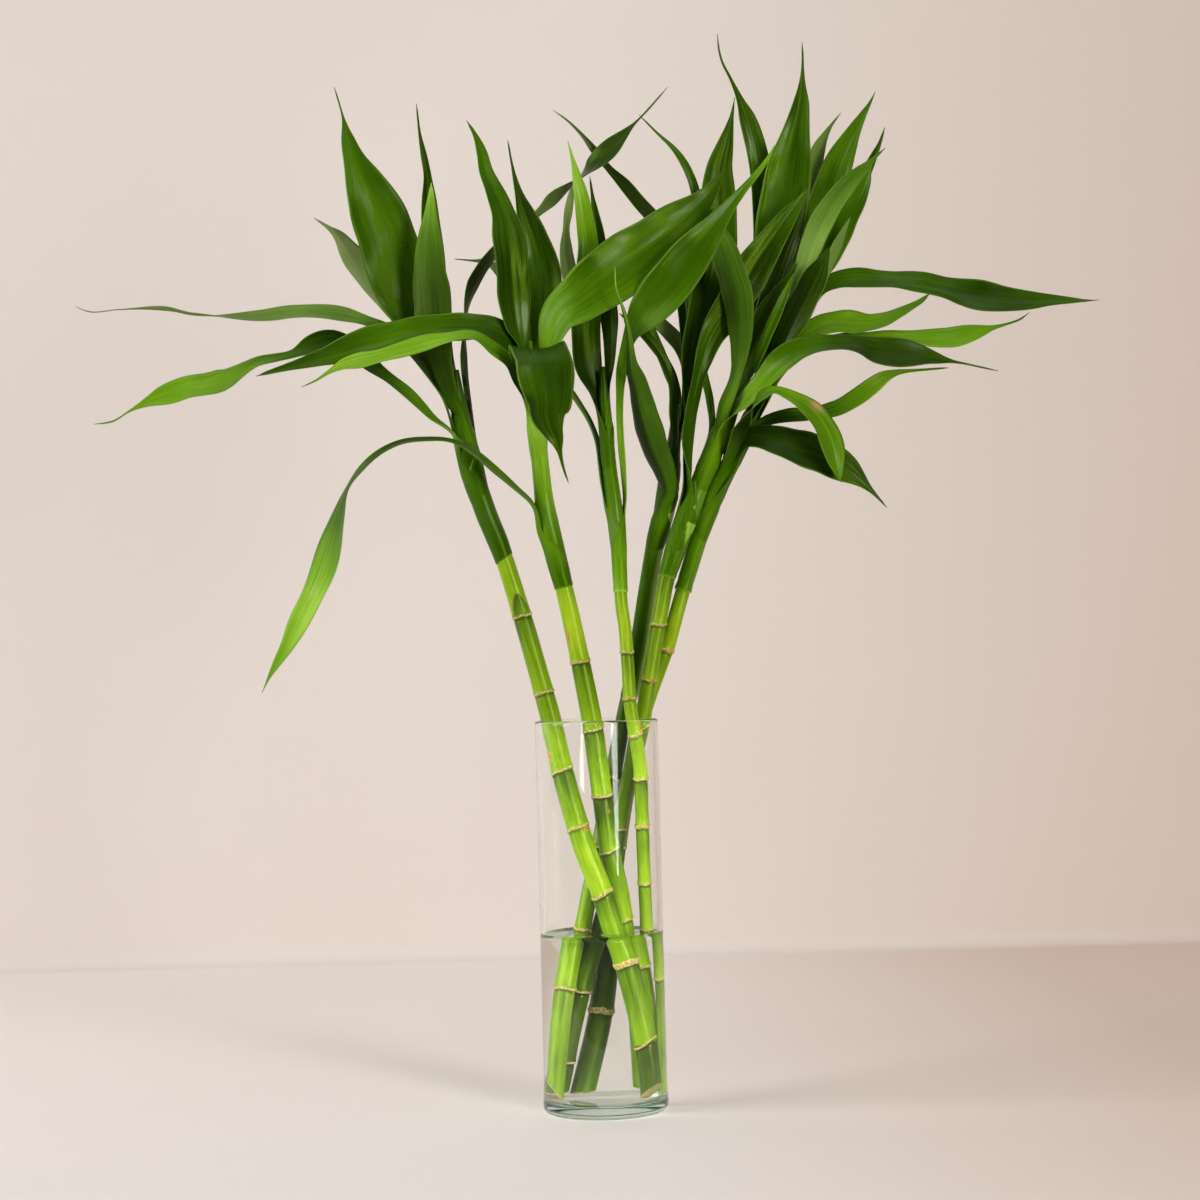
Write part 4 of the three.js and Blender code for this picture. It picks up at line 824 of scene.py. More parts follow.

# %% [markdown]
# ## The leaves
#
# A leaf starts as a sheath that is rolled round its shoot, opens into a narrow channel and widens into the
# blade. All of that is one surface: across the leaf it is an arc, and only the arc's angle and width
# change along it, from almost a full circle to nearly flat. The rib, the line it follows, was read off the
# picture point by point: how far right, how high and how far back, and how wide the leaf shows there.
# "turn" says which way the upper face looks, so a leaf can twist and show its underside.

# %% The leaves in numbers
# height and side: where on its shoot a leaf leaves it (0 degrees is right, 90 back, 180 left, 270 front).
# turn: degrees from facing the camera, from foot to tip; a sideways leaf counts them from facing right.
# wave: how far the edges ripple in mm. fold: how far each half is folded up, in degrees.
# shaded_half: painted shade, how much lighter one half is than the other, as if a fold left one half in
# shade. spots: (share along, across, size) of brown spots.
# tone: how light the green is, from foot to tip, partly the leaf's own green and partly painted light and
# shade. grey_and_sheen: how grey, from a duller underside and from painted sheen. rib: (right, up, back, width)
# in mm.
LEAVES = {
    "a1": dict(
        height=347, side=178, turn=[-25, -15, -15, -20], wave=1.6,
        tone=[0.5, 0.3, 0.36, 0.45, 0.5, 0.45],
        rib=[(-74.5, 371, -3, 8), (-80, 386, 1, 15), (-87, 402, 3, 26), (-94.5, 422, 4, 31),
            (-99.5, 440, 4, 31), (-104.5, 454, 3, 27), (-110, 468, 1, 19), (-114.5, 480, 0, 10.5),
            (-117.2, 490, 0, 6), (-119, 500, 0, 1.6), (-123, 515.5, 0, 0.9)],
    ),
    "a2": dict(
        height=340, side=270, turn=[-165, -165, -160], wave=0.8,
        tone=[0.45, 0.3, 0.25, 0.3, 0.5, 0.9],
        rib=[(-68, 356, -12, 8), (-73, 372, -14, 12), (-76.5, 390, -15, 18), (-77, 405, -15, 19.5),
            (-78, 420, -14, 18), (-77.8, 432, -13.5, 14.5), (-77.3, 443, -13, 10),
            (-76.5, 453, -12, 6), (-75.5, 466, -12, 0.9)],
    ),
    "a3": dict(
        height=353, side=85, turn=[0, -10, -30], wave=0.8,
        tone=[0.5, 0.2, 0.2, 0.2, 0.3],
        rib=[(-68.5, 372, 5, 6), (-73, 395, 9, 11), (-75.5, 420, 9, 12.5), (-76.3, 440, 9, 11),
            (-77, 456, 8.5, 8), (-77.6, 470, 8, 4.2), (-79.3, 481, 7, 3), (-80.8, 491, 6, 1.4),
            (-82, 506, 5, 0.9)],
    ),
    "a4": dict(
        height=338, side=140, turn=[-145, -150, -160], wave=1.2,
        tone=[0.45, 0.5, 0.55, 0.6], grey_and_sheen=[0.6, 0.9, 0.9, 0.9],
        rib=[(-74, 366, 7, 6), (-82, 384, 10, 9), (-92, 400, 13, 12), (-103, 413, 14, 14),
            (-112, 424, 13.5, 14.5), (-118.5, 433.5, 12, 10), (-122.5, 440, 11, 6),
            (-127.5, 444.5, 10, 2.4), (-135, 450, 8, 0.9)],
    ),
    "a5": dict(
        height=333, side=195, turn=[-60, -45, -50, -120, -60], wave=0.6,
        tone=[0.45, 0.4, 0.22, 0.62, 0.62, 0.5, 0.45, 0.5, 0.5], grey_and_sheen=[0, 0, 0, 0.25, 0.35, 0.6, 0.7, 0.6],
        rib=[(-72, 356, -9, 5), (-77.5, 366, -10, 5.5), (-86, 379, -11.5, 6.5), (-98, 391, -12, 7),
            (-110, 397, -12, 7), (-121.7, 400.3, -12, 9.6), (-133, 402, -12, 9.3),
            (-146, 402.3, -12, 7.5), (-160, 401, -11, 6.6), (-179, 401.5, -10, 4),
            (-197, 403.3, -8, 1.4), (-210, 406, -8, 2.2), (-233.5, 406.5, -8, 1.2),
            (-248, 405.6, -8, 1.2), (-255, 408.5, -8, 0.9)],
    ),
    "a6": dict(
        height=320, side=205, turn=[-50, -45, -40, -40, -35], wave=1.2,
        tone=[0.6, 0.66, 0.6, 0.3, 0.22, 0.45, 0.6, 0.75, 0.7, 0.5],
        rib=[(-68, 339, -11, 7), (-78, 347.3, -12, 6.3), (-84.5, 354.5, -13, 6),
            (-90.7, 360.8, -14, 6.2), (-98.6, 367.4, -13.5, 6.2), (-108, 374.3, -13, 8.5),
            (-118, 383, -12, 10), (-128, 387.5, -11.5, 10), (-138, 385.5, -12, 9),
            (-147, 381.8, -12, 5.5), (-156, 380, -12, 6), (-165, 378, -12, 7.5), (-174, 373, -12, 11),
            (-182, 368.5, -13, 13.4), (-191, 366.5, -12, 12.8), (-200, 365.4, -11.5, 13),
            (-207, 363.5, -11, 12), (-213.5, 361.8, -10, 9.5), (-220, 359.5, -9.5, 5.5),
            (-229.5, 355.4, -9, 1.4), (-238, 350.5, -8, 1.2), (-247.4, 349.3, -7, 0.9)],
    ),
    "a7": dict(
        height=326, side=30, turn=[50, 140, 145, 30, 20], wave=0.4,
        tone=[0.35, 0.2, 0.18, 0.2, 0.4, 0.45, 0.25, 0.22, 0.5], grey_and_sheen=[0, 0, 0, 0.3, 0.9, 0.6, 0, 0.2, 0.5],
        rib=[(-58.5, 350, -1, 4.5), (-61, 372, 0, 4), (-60.5, 392, 1, 4.5), (-58, 408, 4, 5.5),
            (-53, 419, 7, 6), (-46, 428.5, 10, 6), (-34, 439.5, 12, 5), (-22, 449.5, 12, 3.5),
            (-13, 457, 11, 6.5), (-3, 464.5, 10, 7), (4, 470, 9, 9), (10.5, 476.5, 9, 10.5),
            (16, 482, 9, 9.5), (21.5, 487.5, 9, 5.5), (27, 493, 9, 1.6), (35, 501, 9, 1.1),
            (44, 511, 9, 0.9)],
    ),
    "b1": dict(
        height=366, side=200, turn=[-30, -25, -30], wave=0.8,
        tone=[0.5, 0.33, 0.28, 0.3, 0.5, 0.45],
        rib=[(-32.3, 380, -15, 7), (-34.3, 390, -14, 12), (-36, 405, -15, 16.5), (-36.8, 420, -15, 17),
            (-37.6, 434, -15, 16.5), (-40, 449, -13, 12.5), (-44.2, 461, -12, 10),
            (-48.3, 471, -10, 7.5), (-50, 480, -9, 5.7), (-52.5, 488, -8, 2.8), (-57, 497, -7, 0.9)],
    ),
    "b2": dict(
        height=366, side=40, turn=[15, 0, -10], wave=1,
        tone=[0.4, 0.36, 0.3, 0.26, 0.22, 0.3],
        rib=[(-23.5, 384, -4, 9), (-21, 398, -3, 15), (-20, 412, -3, 18.5), (-22, 427, -3, 17),
            (-25.5, 440, -3, 13), (-29, 450, -3.5, 9), (-31.7, 459, -4, 4.5), (-33.6, 467, -4, 2.2),
            (-35.2, 476, -4, 1.2), (-36.7, 486.3, -4, 0.9)],
    ),
    "b3": dict(
        height=352, side=325, turn=[40, 0, -5, 5], wave=1.4,
        tone=[0.85, 0.8, 0.62, 0.52, 0.46, 0.4, 0.32, 0.36],
        rib=[(-20, 374, -17, 8), (-17.8, 385, -20, 12), (-12.5, 398, -24, 21), (-2, 406, -27, 25),
            (13, 417, -25.7, 31), (28, 427, -23.3, 30), (42, 438, -21, 25), (54, 447.5, -17.5, 17),
            (63, 456.5, -17, 9), (72, 469, -14, 0.9)],
    ),
    "b4": dict(
        height=346, side=270, turn=[-90, -90, -85], wave=1.2, sideways=True, fold=6,
        tone=[0.5, 0.36, 0.26, 0.3, 0.3, 0.34, 0.5],
        rib=[(-26, 362, -20, 13), (-26.5, 373, -25, 22), (-25.3, 381, -31, 27), (-22, 376, -38, 28),
            (-20, 363, -41, 26.5), (-19.3, 354, -42, 23), (-20, 348, -41.5, 17.5),
            (-18.3, 341, -40.5, 11.5), (-16, 335, -39, 7), (-14.8, 329.5, -38, 2.8),
            (-13, 321, -37, 1.3), (-10.7, 313.5, -36, 0.9)],
    ),
    "b5": dict(
        height=352, side=180, turn=[-40, -20, -20, -20], wave=1,
        tone=[0.5, 0.4, 0.3, 0.48, 0.52, 0.4, 0.34, 0.3],
        rib=[(-32.5, 372, -13, 9), (-38, 384, -16, 12), (-46, 390.5, -19, 13), (-57, 392.3, -21, 14),
            (-71.5, 392.5, -22, 14), (-86, 392, -23, 14.5), (-100, 388.5, -23, 16),
            (-114.5, 384.5, -22, 15.5), (-121.7, 382.3, -21.5, 13), (-128.8, 380.4, -21, 10),
            (-136, 378.7, -20, 7.8), (-143.2, 376.8, -19, 5.8), (-150.3, 375.1, -18, 4.4),
            (-157.5, 373.3, -18, 2.8), (-165.8, 371.2, -17, 0.9)],
    ),
    "b6": dict(
        height=340, side=205, turn=[-45, -30, -30], wave=0.6,
        tone=[0.4, 0.42, 0.6, 0.75, 0.8, 0.78, 0.7],
        rib=[(-34.5, 364, -18, 6.5), (-38.5, 374.5, -24, 7), (-46, 381, -27, 7), (-56, 388.5, -29, 6),
            (-71.5, 387.2, -30, 6.8), (-86, 383.8, -30, 8.5), (-100, 380.3, -30, 7.5),
            (-107.5, 378.5, -29, 8.2), (-114.5, 377.1, -28, 9), (-121.7, 375.8, -27, 6.7),
            (-129, 372.3, -25, 2.4), (-136, 368.2, -24, 1.2), (-143.2, 365.2, -23, 0.9)],
    ),
    "b7": dict(
        height=281, side=195, turn=[-60, -60, -50, -30, -25], wave=0.4,
        tone=[0.62, 0.58, 0.5, 0.4, 0.34, 0.34, 0.6, 0.85, 0.8, 0.6],
        rib=[(-29, 302, -14, 8), (-38, 311.5, -17, 6.5), (-48, 321, -19, 5.5), (-58, 330, -20, 4.5),
            (-69, 336, -20, 3.4), (-82, 337, -20, 3.5), (-94, 335.8, -19.5, 3.8),
            (-105, 331, -18.5, 3.3), (-114.8, 322.5, -17, 3.5), (-121.5, 313.5, -15.5, 2.5),
            (-126, 298, -14, 9.5), (-129.3, 286, -13, 13.5), (-133.5, 273, -12.5, 14),
            (-140.3, 259, -12, 12), (-147.2, 246.5, -11.5, 10.8), (-153.2, 235.5, -11, 7.3),
            (-158.7, 227, -10.5, 4.5), (-163.5, 219, -10, 1.6), (-166.8, 212.5, -10, 0.9)],
    ),
    "b8": dict(
        height=372, side=120, turn=[-40, -50], wave=0,
        tone=[0.3, 0.4, 0.5], grey_and_sheen=[0, 0.5, 0.8],
        rib=[(-30.5, 392, -3, 5), (-36, 408, 5, 6), (-42, 419, 14, 6), (-48.5, 425, 19, 4),
            (-56, 426.3, 21, 1.6), (-65, 427.5, 22, 0.9)],
    ),
    "c1": dict(
        height=288, side=10, turn=[40, 28, 4, 8, 12], wave=1.2,
        tone=[0.8, 0.85, 0.8, 0.6, 0.5, 0.48, 0.42, 0.42, 0.55, 0.8],
        rib=[(17.8, 306, -4, 4.5), (17.2, 320, -5, 4), (16.2, 335, -7, 3.8), (16, 350, -9, 3.8),
            (17, 365, -12, 4), (19.3, 377, -15, 5), (23.5, 388.5, -22, 9), (29.5, 397, -28.3, 18),
            (37, 405.5, -32, 22.5), (45, 414.8, -33.5, 23), (52.3, 424, -32.5, 21.5),
            (59.5, 432.5, -32, 16.5), (66.3, 441, -30, 11), (73.5, 450, -27.5, 7),
            (80.8, 458.5, -26, 4.5), (88, 466.5, -24, 3.2), (93.5, 474, -22.5, 1.8),
            (97, 480.5, -22, 0.9)],
    ),
    "c2": dict(
        height=334, side=190, turn=[-30, -10, 0, -20], wave=0.6,
        tone=[0.25, 0.22, 0.28, 0.4, 0.6, 0.85, 0.95],
        rib=[(3.5, 358, -2, 9), (0, 372, 0, 14), (-0.5, 388, 1.5, 15), (0.3, 404, 2, 15),
            (1.5, 420, 2, 12.5), (2.3, 432, 2, 10.5), (1, 445, 1.5, 9.3), (-0.3, 455, 1, 8),
            (-2, 464, 0.5, 5.6), (-3.8, 473, 0, 2.9), (-5.3, 479.5, 0, 1.4), (-6.6, 485.5, 0, 0.9)],
    ),
    "c3": dict(
        height=352, side=30, turn=[10, 0], wave=0.4,
        tone=[0.3, 0.25, 0.2, 0.2],
        rib=[(11.5, 372, 1, 5), (12, 395, 5, 9), (9.5, 418, 7, 8.5), (7.8, 436, 7, 6.5),
            (6, 450, 7, 3.6), (4.8, 459, 7, 1.6), (4, 467, 7, 0.9)],
    ),
    "c4": dict(
        height=294, side=175, turn=[-50, -50], wave=0,
        tone=[0.62, 0.55, 0.55, 0.3], grey_and_sheen=[0.2, 0.3, 0.3],
        rib=[(5.5, 322, -1, 3.5), (4.3, 333, 0, 3.2), (0.8, 343.5, 1, 3.2), (-3.8, 351.8, 2, 3.2),
            (-9, 359.5, 3, 4), (-17, 367, 4.5, 6), (-27, 373.5, 6, 6), (-38, 378.5, 7, 3),
            (-47, 381.5, 7.5, 0.9)],
    ),
    "c5": dict(
        height=344, side=110, turn=[-175, -175, -170], wave=0.3,
        tone=[0.5, 0.5, 0.5, 0.5], grey_and_sheen=[0.5, 0.8, 0.8],
        rib=[(4.5, 366, 7, 4), (0.5, 382, 13, 6), (-4, 400, 16, 8.5), (-7.5, 418, 19, 8),
            (-9, 431, 20, 7), (-8.6, 441, 20, 3.5), (-7.3, 450, 20, 4.5), (-6, 457, 20, 3.5),
            (-5, 463.5, 20, 0.9)],
    ),
    "d1": dict(
        height=292, side=250, turn=[-145, -140, -130], wave=0.8, fold=26,
        tone=[0.4, 0.28, 0.2, 0.3, 0.3, 0.36, 0.5, 0.7], shaded_half=-0.18,
        rib=[(38.5, 308, -1, 9), (36, 318, -3, 12.5), (31.7, 328, -5, 15.3), (28.7, 338, -8, 14.7),
            (26.2, 349, -12, 13), (24.4, 359, -17, 11.3), (22.3, 369, -22.5, 9), (21.8, 379, -29, 4.5),
            (21, 389, -34, 2.2), (18.8, 400, -38, 1.4), (15.5, 411, -39, 1.2),
            (15.5, 421.5, -38.5, 0.9)],
    ),
    "d2": dict(
        height=328, side=0, turn=[10, 10, 20, -20], wave=0.5,
        tone=[0.3, 0.2, 0.15, 0.18, 0.2, 0.12, 0.15, 0.5], grey_and_sheen=[0, 0, 0, 0, 0.3, 0.2, 0.2, 0.7],
        rib=[(49, 350, 5, 5), (50.5, 370, 6, 6), (50.3, 392, 8, 7), (48.3, 412, 11.5, 8.5),
            (44, 429, 14.5, 9.5), (37, 443, 16, 7.5), (28.5, 453.5, 16.5, 6.5), (21.5, 462.5, 17, 6),
            (13.5, 471, 18, 3.8), (7, 479.5, 18, 4), (1, 487.5, 17, 2), (-6, 495, 16, 1.2),
            (-13.5, 501, 15, 0.9)],
    ),
    "d3": dict(
        height=312, side=215, turn=[-40, -30], wave=0.4,
        tone=[0.45, 0.35, 0.25, 0.2],
        rib=[(42, 332, 0, 4), (42.3, 348, -1.5, 4), (42, 362, -1.5, 4.5), (38, 374.5, -1, 5),
            (29.5, 386.5, -1, 5.5), (17, 398, -1, 0.9)],
    ),
    "d4": dict(
        height=316, side=140, turn=[-20, -30], wave=0.4,
        tone=[0.45, 0.3, 0.2],
        rib=[(43.5, 340, 9.5, 4.5), (43.8, 358, 10.5, 6), (37.5, 376, 9.5, 5.5), (31, 391, 8, 6),
            (24, 408, 6.5, 0.9)],
    ),
    "d5": dict(
        height=322, side=60, turn=[20, 150, 155], wave=0.4,
        tone=[0.4, 0.3, 0.4], grey_and_sheen=[0.2, 0.7, 0.7],
        rib=[(48.5, 350, 15, 5), (51, 368, 18.5, 7), (47.5, 381, 17.5, 8.5), (39, 391, 15.5, 8),
            (31, 397.5, 13.5, 5), (23, 404, 12, 0.9)],
    ),
    "e1": dict(
        height=288, side=170, turn=[-35, -20, -10, -10], wave=1,
        tone=[0.42, 0.3, 0.25, 0.28, 0.3, 0.3, 0.3],
        rib=[(47.5, 312, -4, 7), (49, 328, -4, 5.5), (51, 345, -4, 6), (52, 362, -3, 10),
            (54, 380, -1, 14), (58.5, 398, 1, 17), (63.5, 416, 2, 19.5), (66.5, 432, 4, 20.5),
            (67.5, 447, 5, 19.5), (68, 459, 5, 17), (69, 470, 5, 13.5), (71.8, 480, 5, 9.5),
            (74.3, 489, 5, 5), (76, 496, 5, 2), (77.7, 505, 5, 0.9)],
    ),
    "e2": dict(
        height=296, side=215, turn=[-50, -20, 0, 10], wave=1.2,
        tone=[0.5, 0.38, 0.36, 0.3, 0.24, 0.3, 0.42],
        rib=[(48.8, 316, -7, 8), (48.7, 334, -9, 6.5), (52, 351, -11, 7), (56.5, 369, -12, 8.5),
            (63, 386, -12, 12), (73, 400, -12, 17.5), (81, 413, -11.5, 19), (89, 425, -11, 16.5),
            (96.5, 435.5, -10, 13), (103, 444.5, -9, 9), (108.5, 451.5, -8, 4.5), (113.7, 459, -7, 0.9)],
    ),
    "e3": dict(
        height=310, side=150, turn=[-40, -20, 0, -30], wave=0.3,
        tone=[0.72, 0.66, 0.25, 0.2, 0.25, 0.4, 0.5],
        rib=[(61.3, 338, 3, 4), (60.8, 353, 3.5, 4.4), (57.6, 370, 4, 4.5), (57, 390, 6, 6),
            (59, 410, 8, 8), (60.5, 428, 9.5, 9), (59.5, 443, 10, 8), (57.3, 455, 10, 5.5),
            (54.8, 464.5, 10, 4.5), (51.3, 472.5, 9.5, 4), (46, 480.3, 8, 2.8), (38.5, 487.8, 6, 1.5),
            (29.5, 497.5, 3, 0.9)],
    ),
    "e4": dict(
        height=328, side=230, turn=[-150, -160, -170], wave=0.8,
        tone=[0.62, 0.58, 0.5, 0.36, 0.4, 0.42, 0.4], shaded_half=-0.06,
        rib=[(68, 350, -9, 7), (73.5, 363, -12.5, 6.3), (76.5, 377, -17, 8.5), (77, 391, -20, 13),
            (76, 405, -21, 15), (73, 418, -20.5, 15), (69.5, 430, -19.5, 12.5), (66, 440, -18, 8),
            (62.5, 449, -16.5, 3.5), (58.5, 459, -15, 0.9)],
    ),
    "e5": dict(
        height=338, side=280, turn=[40, 20, 15], wave=0.5,
        tone=[0.6, 0.38, 0.16, 0.14, 0.3],
        rib=[(75, 355, -6, 6), (80, 369, -7, 9), (85.5, 383, -8, 11.5), (91.5, 395.5, -9, 11.5),
            (97.5, 405.5, -9, 8.5), (102.5, 413.5, -9, 4), (107, 421, -9, 0.9)],
    ),
    "e6": dict(
        height=342, side=350, turn=[30, 20, 15], wave=0.5,
        tone=[0.4, 0.3, 0.15, 0.1, 0.2],
        rib=[(81.5, 374, -2.5, 5.5), (87.5, 391, -2, 8), (93.5, 407, -2, 10.5), (99.5, 422, -2, 12),
            (105, 436, -2, 10.5), (109.3, 447.5, -2, 6), (111.8, 455, -1.5, 2.5), (113.5, 462, -1, 0.9)],
    ),
    "e7": dict(
        height=346, side=110, turn=[0, 0, -20], wave=0.8,
        tone=[0.3, 0.26, 0.25, 0.28, 0.3, 0.3, 0.4],
        rib=[(77, 370, 9, 5.5), (83, 392, 12, 8), (88, 412, 14, 11), (90.5, 432, 14, 12),
            (91, 450, 13.5, 12), (90, 464, 12.5, 11.5), (88.3, 476, 11.5, 11), (86, 486, 10.5, 10.3),
            (83.3, 495, 10, 8.5), (80.8, 502, 9.5, 5), (78.3, 508.5, 9, 2.8), (75.3, 515.5, 8.5, 1.5),
            (72, 522.5, 8, 1.2), (70.3, 530, 7.5, 1), (70, 537, 7, 0.9)],
    ),
    "e8": dict(
        height=352, side=50, turn=[15, 5, 0], wave=1.2,
        tone=[0.4, 0.3, 0.36, 0.5, 0.5, 0.42, 0.4, 0.32, 0.3],
        rib=[(81, 374, 4, 7), (86, 388, 5, 12), (90.5, 401, 5, 16), (94.5, 415, 6, 21),
            (98, 429, 6, 25.5), (99.8, 441, 6, 26.5), (101.3, 452, 5.5, 26), (103.2, 463, 5, 24),
            (105, 472.5, 5, 21), (107, 482, 4.5, 16.5), (109, 491.5, 4, 12.5), (110.8, 501, 4, 8.5),
            (111.6, 510, 3.5, 3.8), (112.1, 518, 3, 1.6), (112.3, 525, 3, 1.1), (112.2, 532, 3, 0.9)],
    ),
    "e9": dict(
        height=340, side=75, turn=[175, 170, 160], wave=0.4,
        tone=[0.4, 0.4, 0.5, 0.5], grey_and_sheen=[0.4, 0.4, 0.5],
        rib=[(81, 368, 13, 5), (90.5, 390, 18, 6), (99, 412, 20, 7.5), (106, 432, 21, 8.5),
            (111.5, 450, 21, 9.5), (115, 463, 20.5, 10), (117.3, 472, 20, 9), (119.7, 479, 19, 7),
            (122.5, 484.5, 18.5, 4), (126, 490, 18, 1.6), (130.7, 495.8, 17, 0.9)],
    ),
    "e10": dict(
        height=324, side=285, turn=[40, 25, 30, 35, 40], wave=0.8,
        tone=[0.85, 0.8, 0.72, 0.5, 0.32, 0.2, 0.2, 0.3, 0.5],
        rib=[(72, 345, -7, 8), (79, 352.5, -12, 9), (87, 361, -16, 10), (96, 370.5, -21, 11.7),
            (106, 377, -23, 11.4), (117, 379.6, -22.5, 9.4), (128, 380, -20, 9),
            (137, 378.5, -19.5, 10.8), (145, 375.5, -18.5, 15), (153, 374, -18, 15.8),
            (161, 373.3, -17, 13.3), (169, 372.2, -16, 9.7), (176, 370.6, -15, 6.2),
            (182, 369.5, -14, 2.6), (190, 368, -13, 1.4), (198, 366, -12, 1.2), (206, 364.2, -11, 0.9)],
    ),
    "e11": dict(
        height=350, side=330, turn=[40, 40], wave=0,
        tone=[0.4, 0.5, 0.55],
        rib=[(84, 369, -12, 3.5), (91, 385, -17, 5.5), (98, 400, -18, 5), (105, 416, -18, 0.9)],
    ),
    "f1": dict(
        height=344, side=90, turn=[10, 15, 20], wave=1,
        tone=[0.4, 0.35, 0.45, 0.6, 0.66, 0.5, 0.5, 0.4],
        rib=[(87.5, 368, 8, 6), (94.5, 385, 11.5, 9), (102, 401, 12.5, 14), (109, 417, 12.5, 17),
            (115, 432, 11.5, 18.5), (120.3, 446, 11.5, 18.5), (125, 459, 11, 17.5),
            (129, 470, 10.5, 14.5), (133.5, 479.5, 10, 10.5), (138, 488, 9.5, 6.8),
            (142.5, 495.5, 9, 3.4), (145.5, 500.5, 8.5, 1.6), (148.2, 506, 8, 0.9)],
    ),
    "f2": dict(
        height=354, side=50, turn=[20, 20], wave=0.3,
        tone=[0.3, 0.3, 0.25, 0.2, 0.25, 0.3],
        rib=[(92, 371, 5, 4), (101, 387, 5.5, 4.5), (111, 404, 4.5, 5.5), (120, 421, 3.5, 6),
            (128.5, 437, 2.5, 6.5), (136, 452, 2.5, 7), (142, 464, 3, 6), (146.7, 473.5, 3.5, 3.8),
            (149.8, 480, 3, 2), (152.5, 488, 2, 0.9)],
    ),
    "f3": dict(
        height=352, side=345, turn=[30, 25, 15], wave=0.6,
        tone=[0.5, 0.6, 0.75, 0.78, 0.62, 0.5, 0.5], grey_and_sheen=[0, 0, 0.3, 0.35, 0.1, 0],
        rib=[(91.5, 371, -3.5, 4.5), (98, 386, -5, 5), (104, 401, -6.5, 7), (109.5, 415, -8, 9.5),
            (113.5, 427, -9, 11), (118.5, 438.5, -9.5, 12), (124.5, 448.5, -9.5, 12),
            (131, 457, -9.5, 10), (137.5, 464, -9, 7), (143.5, 469.3, -8.5, 3.8),
            (148, 473.5, -8, 1.6), (152.5, 477.7, -8, 0.9)],
    ),
    "f4": dict(
        height=347, side=20, turn=[25, 20], wave=0.5,
        tone=[0.5, 0.55, 0.6, 0.65, 0.5, 0.5],
        rib=[(93.5, 367, 1.5, 4.5), (102, 383, 1, 5), (110.5, 397, 0, 7.5), (115, 410, -1, 7.5),
            (122.8, 422, -1, 10.5), (128, 432.5, -1.5, 12), (132.2, 442.5, -1.5, 11.5),
            (137.6, 452, -1, 10.5), (142, 460.5, -1, 6), (144.3, 467, -0.5, 2), (145.8, 471.5, 0, 0.9)],
    ),
    "f5": dict(
        height=342, side=350, turn=[25, 150], wave=0.3,
        tone=[0.5, 0.6, 0.7, 0.6], grey_and_sheen=[0.1, 0.3, 0.3],
        rib=[(95, 364, -3.5, 3.5), (104, 379, -4, 4), (112, 393, -5, 5), (118, 405, -6, 6),
            (123, 417, -7.5, 6.5), (127.5, 429, -8.5, 5.5), (131, 437, -9, 3), (134, 443.5, -9, 0.9)],
    ),
    "f6": dict(
        height=340, side=300, turn=[45, 20, 15], wave=0.6,
        tone=[0.4, 0.25, 0.14, 0.12, 0.15, 0.2],
        rib=[(88, 358, -9.5, 7), (92.5, 369, -13, 9), (97.5, 380, -15, 12), (103, 390.5, -16, 14),
            (108.5, 400, -16, 14.5), (113, 408.5, -15.5, 14), (117, 416, -15, 11),
            (120.3, 422.5, -14.5, 5.5), (123.5, 429, -14, 0.9)],
    ),
    "f7": dict(
        height=332, side=35, turn=[35, 35, 25, 20], wave=0.8,
        tone=[0.5, 0.46, 0.45, 0.42, 0.5, 0.5, 0.45, 0.36, 0.3, 0.28, 0.3, 0.4],
        rib=[(89, 352, 5, 6), (96.5, 368, 9, 6), (104, 384, 12, 6), (111, 398, 13.5, 6),
            (118, 407.5, 14, 7), (126, 411, 13.5, 9.7), (136, 411.8, 13, 11.8), (147, 411.1, 12, 10.7),
            (155, 410.6, 11.5, 10.6), (163, 409.7, 11, 12.2), (171, 408.5, 10, 12.9),
            (180, 406.2, 9.5, 12.6), (189, 403.5, 9, 14.5), (199, 401.3, 8, 15.7),
            (210, 399.4, 7.5, 13.8), (222, 398.6, 7, 10.7), (233, 398.7, 6, 6.6), (243, 398.4, 5, 3.6),
            (250.5, 398.2, 4.5, 1.5), (257.3, 398.4, 4, 0.9)],
    ),
    "f8": dict(
        height=334, side=325, turn=[50, 35, 30, 25], wave=1,
        tone=[0.5, 0.6, 0.72, 0.72, 0.66, 0.6, 0.5],
        rib=[(88, 354, -8, 6), (95, 365.5, -9.5, 7), (102, 375.5, -10, 8.5), (109.5, 383.5, -10, 10),
            (117.5, 388.7, -9, 10.8), (126, 390.2, -8, 11.2), (134.5, 389.7, -6.5, 11.4),
            (143, 389.5, -6, 10), (150, 391.2, -5, 8.6), (157, 394.3, -4, 6), (163, 397.3, -3, 3.8),
            (168.5, 400.3, -2, 2.8), (173, 404.3, -1, 0.9)],
    ),
    "f9": dict(
        height=326, side=350, turn=[40, 35, 30], wave=0.6,
        tone=[0.5, 0.55, 0.6, 0.66, 0.66, 0.72, 0.72, 0.62, 0.4],
        rib=[(87, 347.5, -1, 5), (93, 361, -1.5, 5.5), (103, 372, -2.5, 6), (115.5, 378.5, -4, 6.5),
            (129, 381, -5.5, 7.5), (142, 380.8, -6, 8.5), (154, 381.3, -6, 9), (165, 381.2, -6, 9.6),
            (175, 380.8, -6, 11.2), (184, 381, -6, 11.2), (192, 382.8, -6, 9), (198.5, 384.3, -5.5, 6),
            (204, 385.7, -5, 2.8), (211, 387.5, -4.5, 1.4), (217.5, 389.7, -4, 1.2),
            (222.2, 393, -4, 0.9)],
    ),
    "f10": dict(
        height=316, side=335, turn=[40, 35, 25, 25], wave=0.6,
        tone=[0.5, 0.45, 0.36, 0.36, 0.62, 0.8, 0.72, 0.5],
        rib=[(82.5, 337.5, -6, 5.5), (90, 342, -7.5, 6), (100, 344, -7.5, 7), (110, 344.3, -6.5, 7.5),
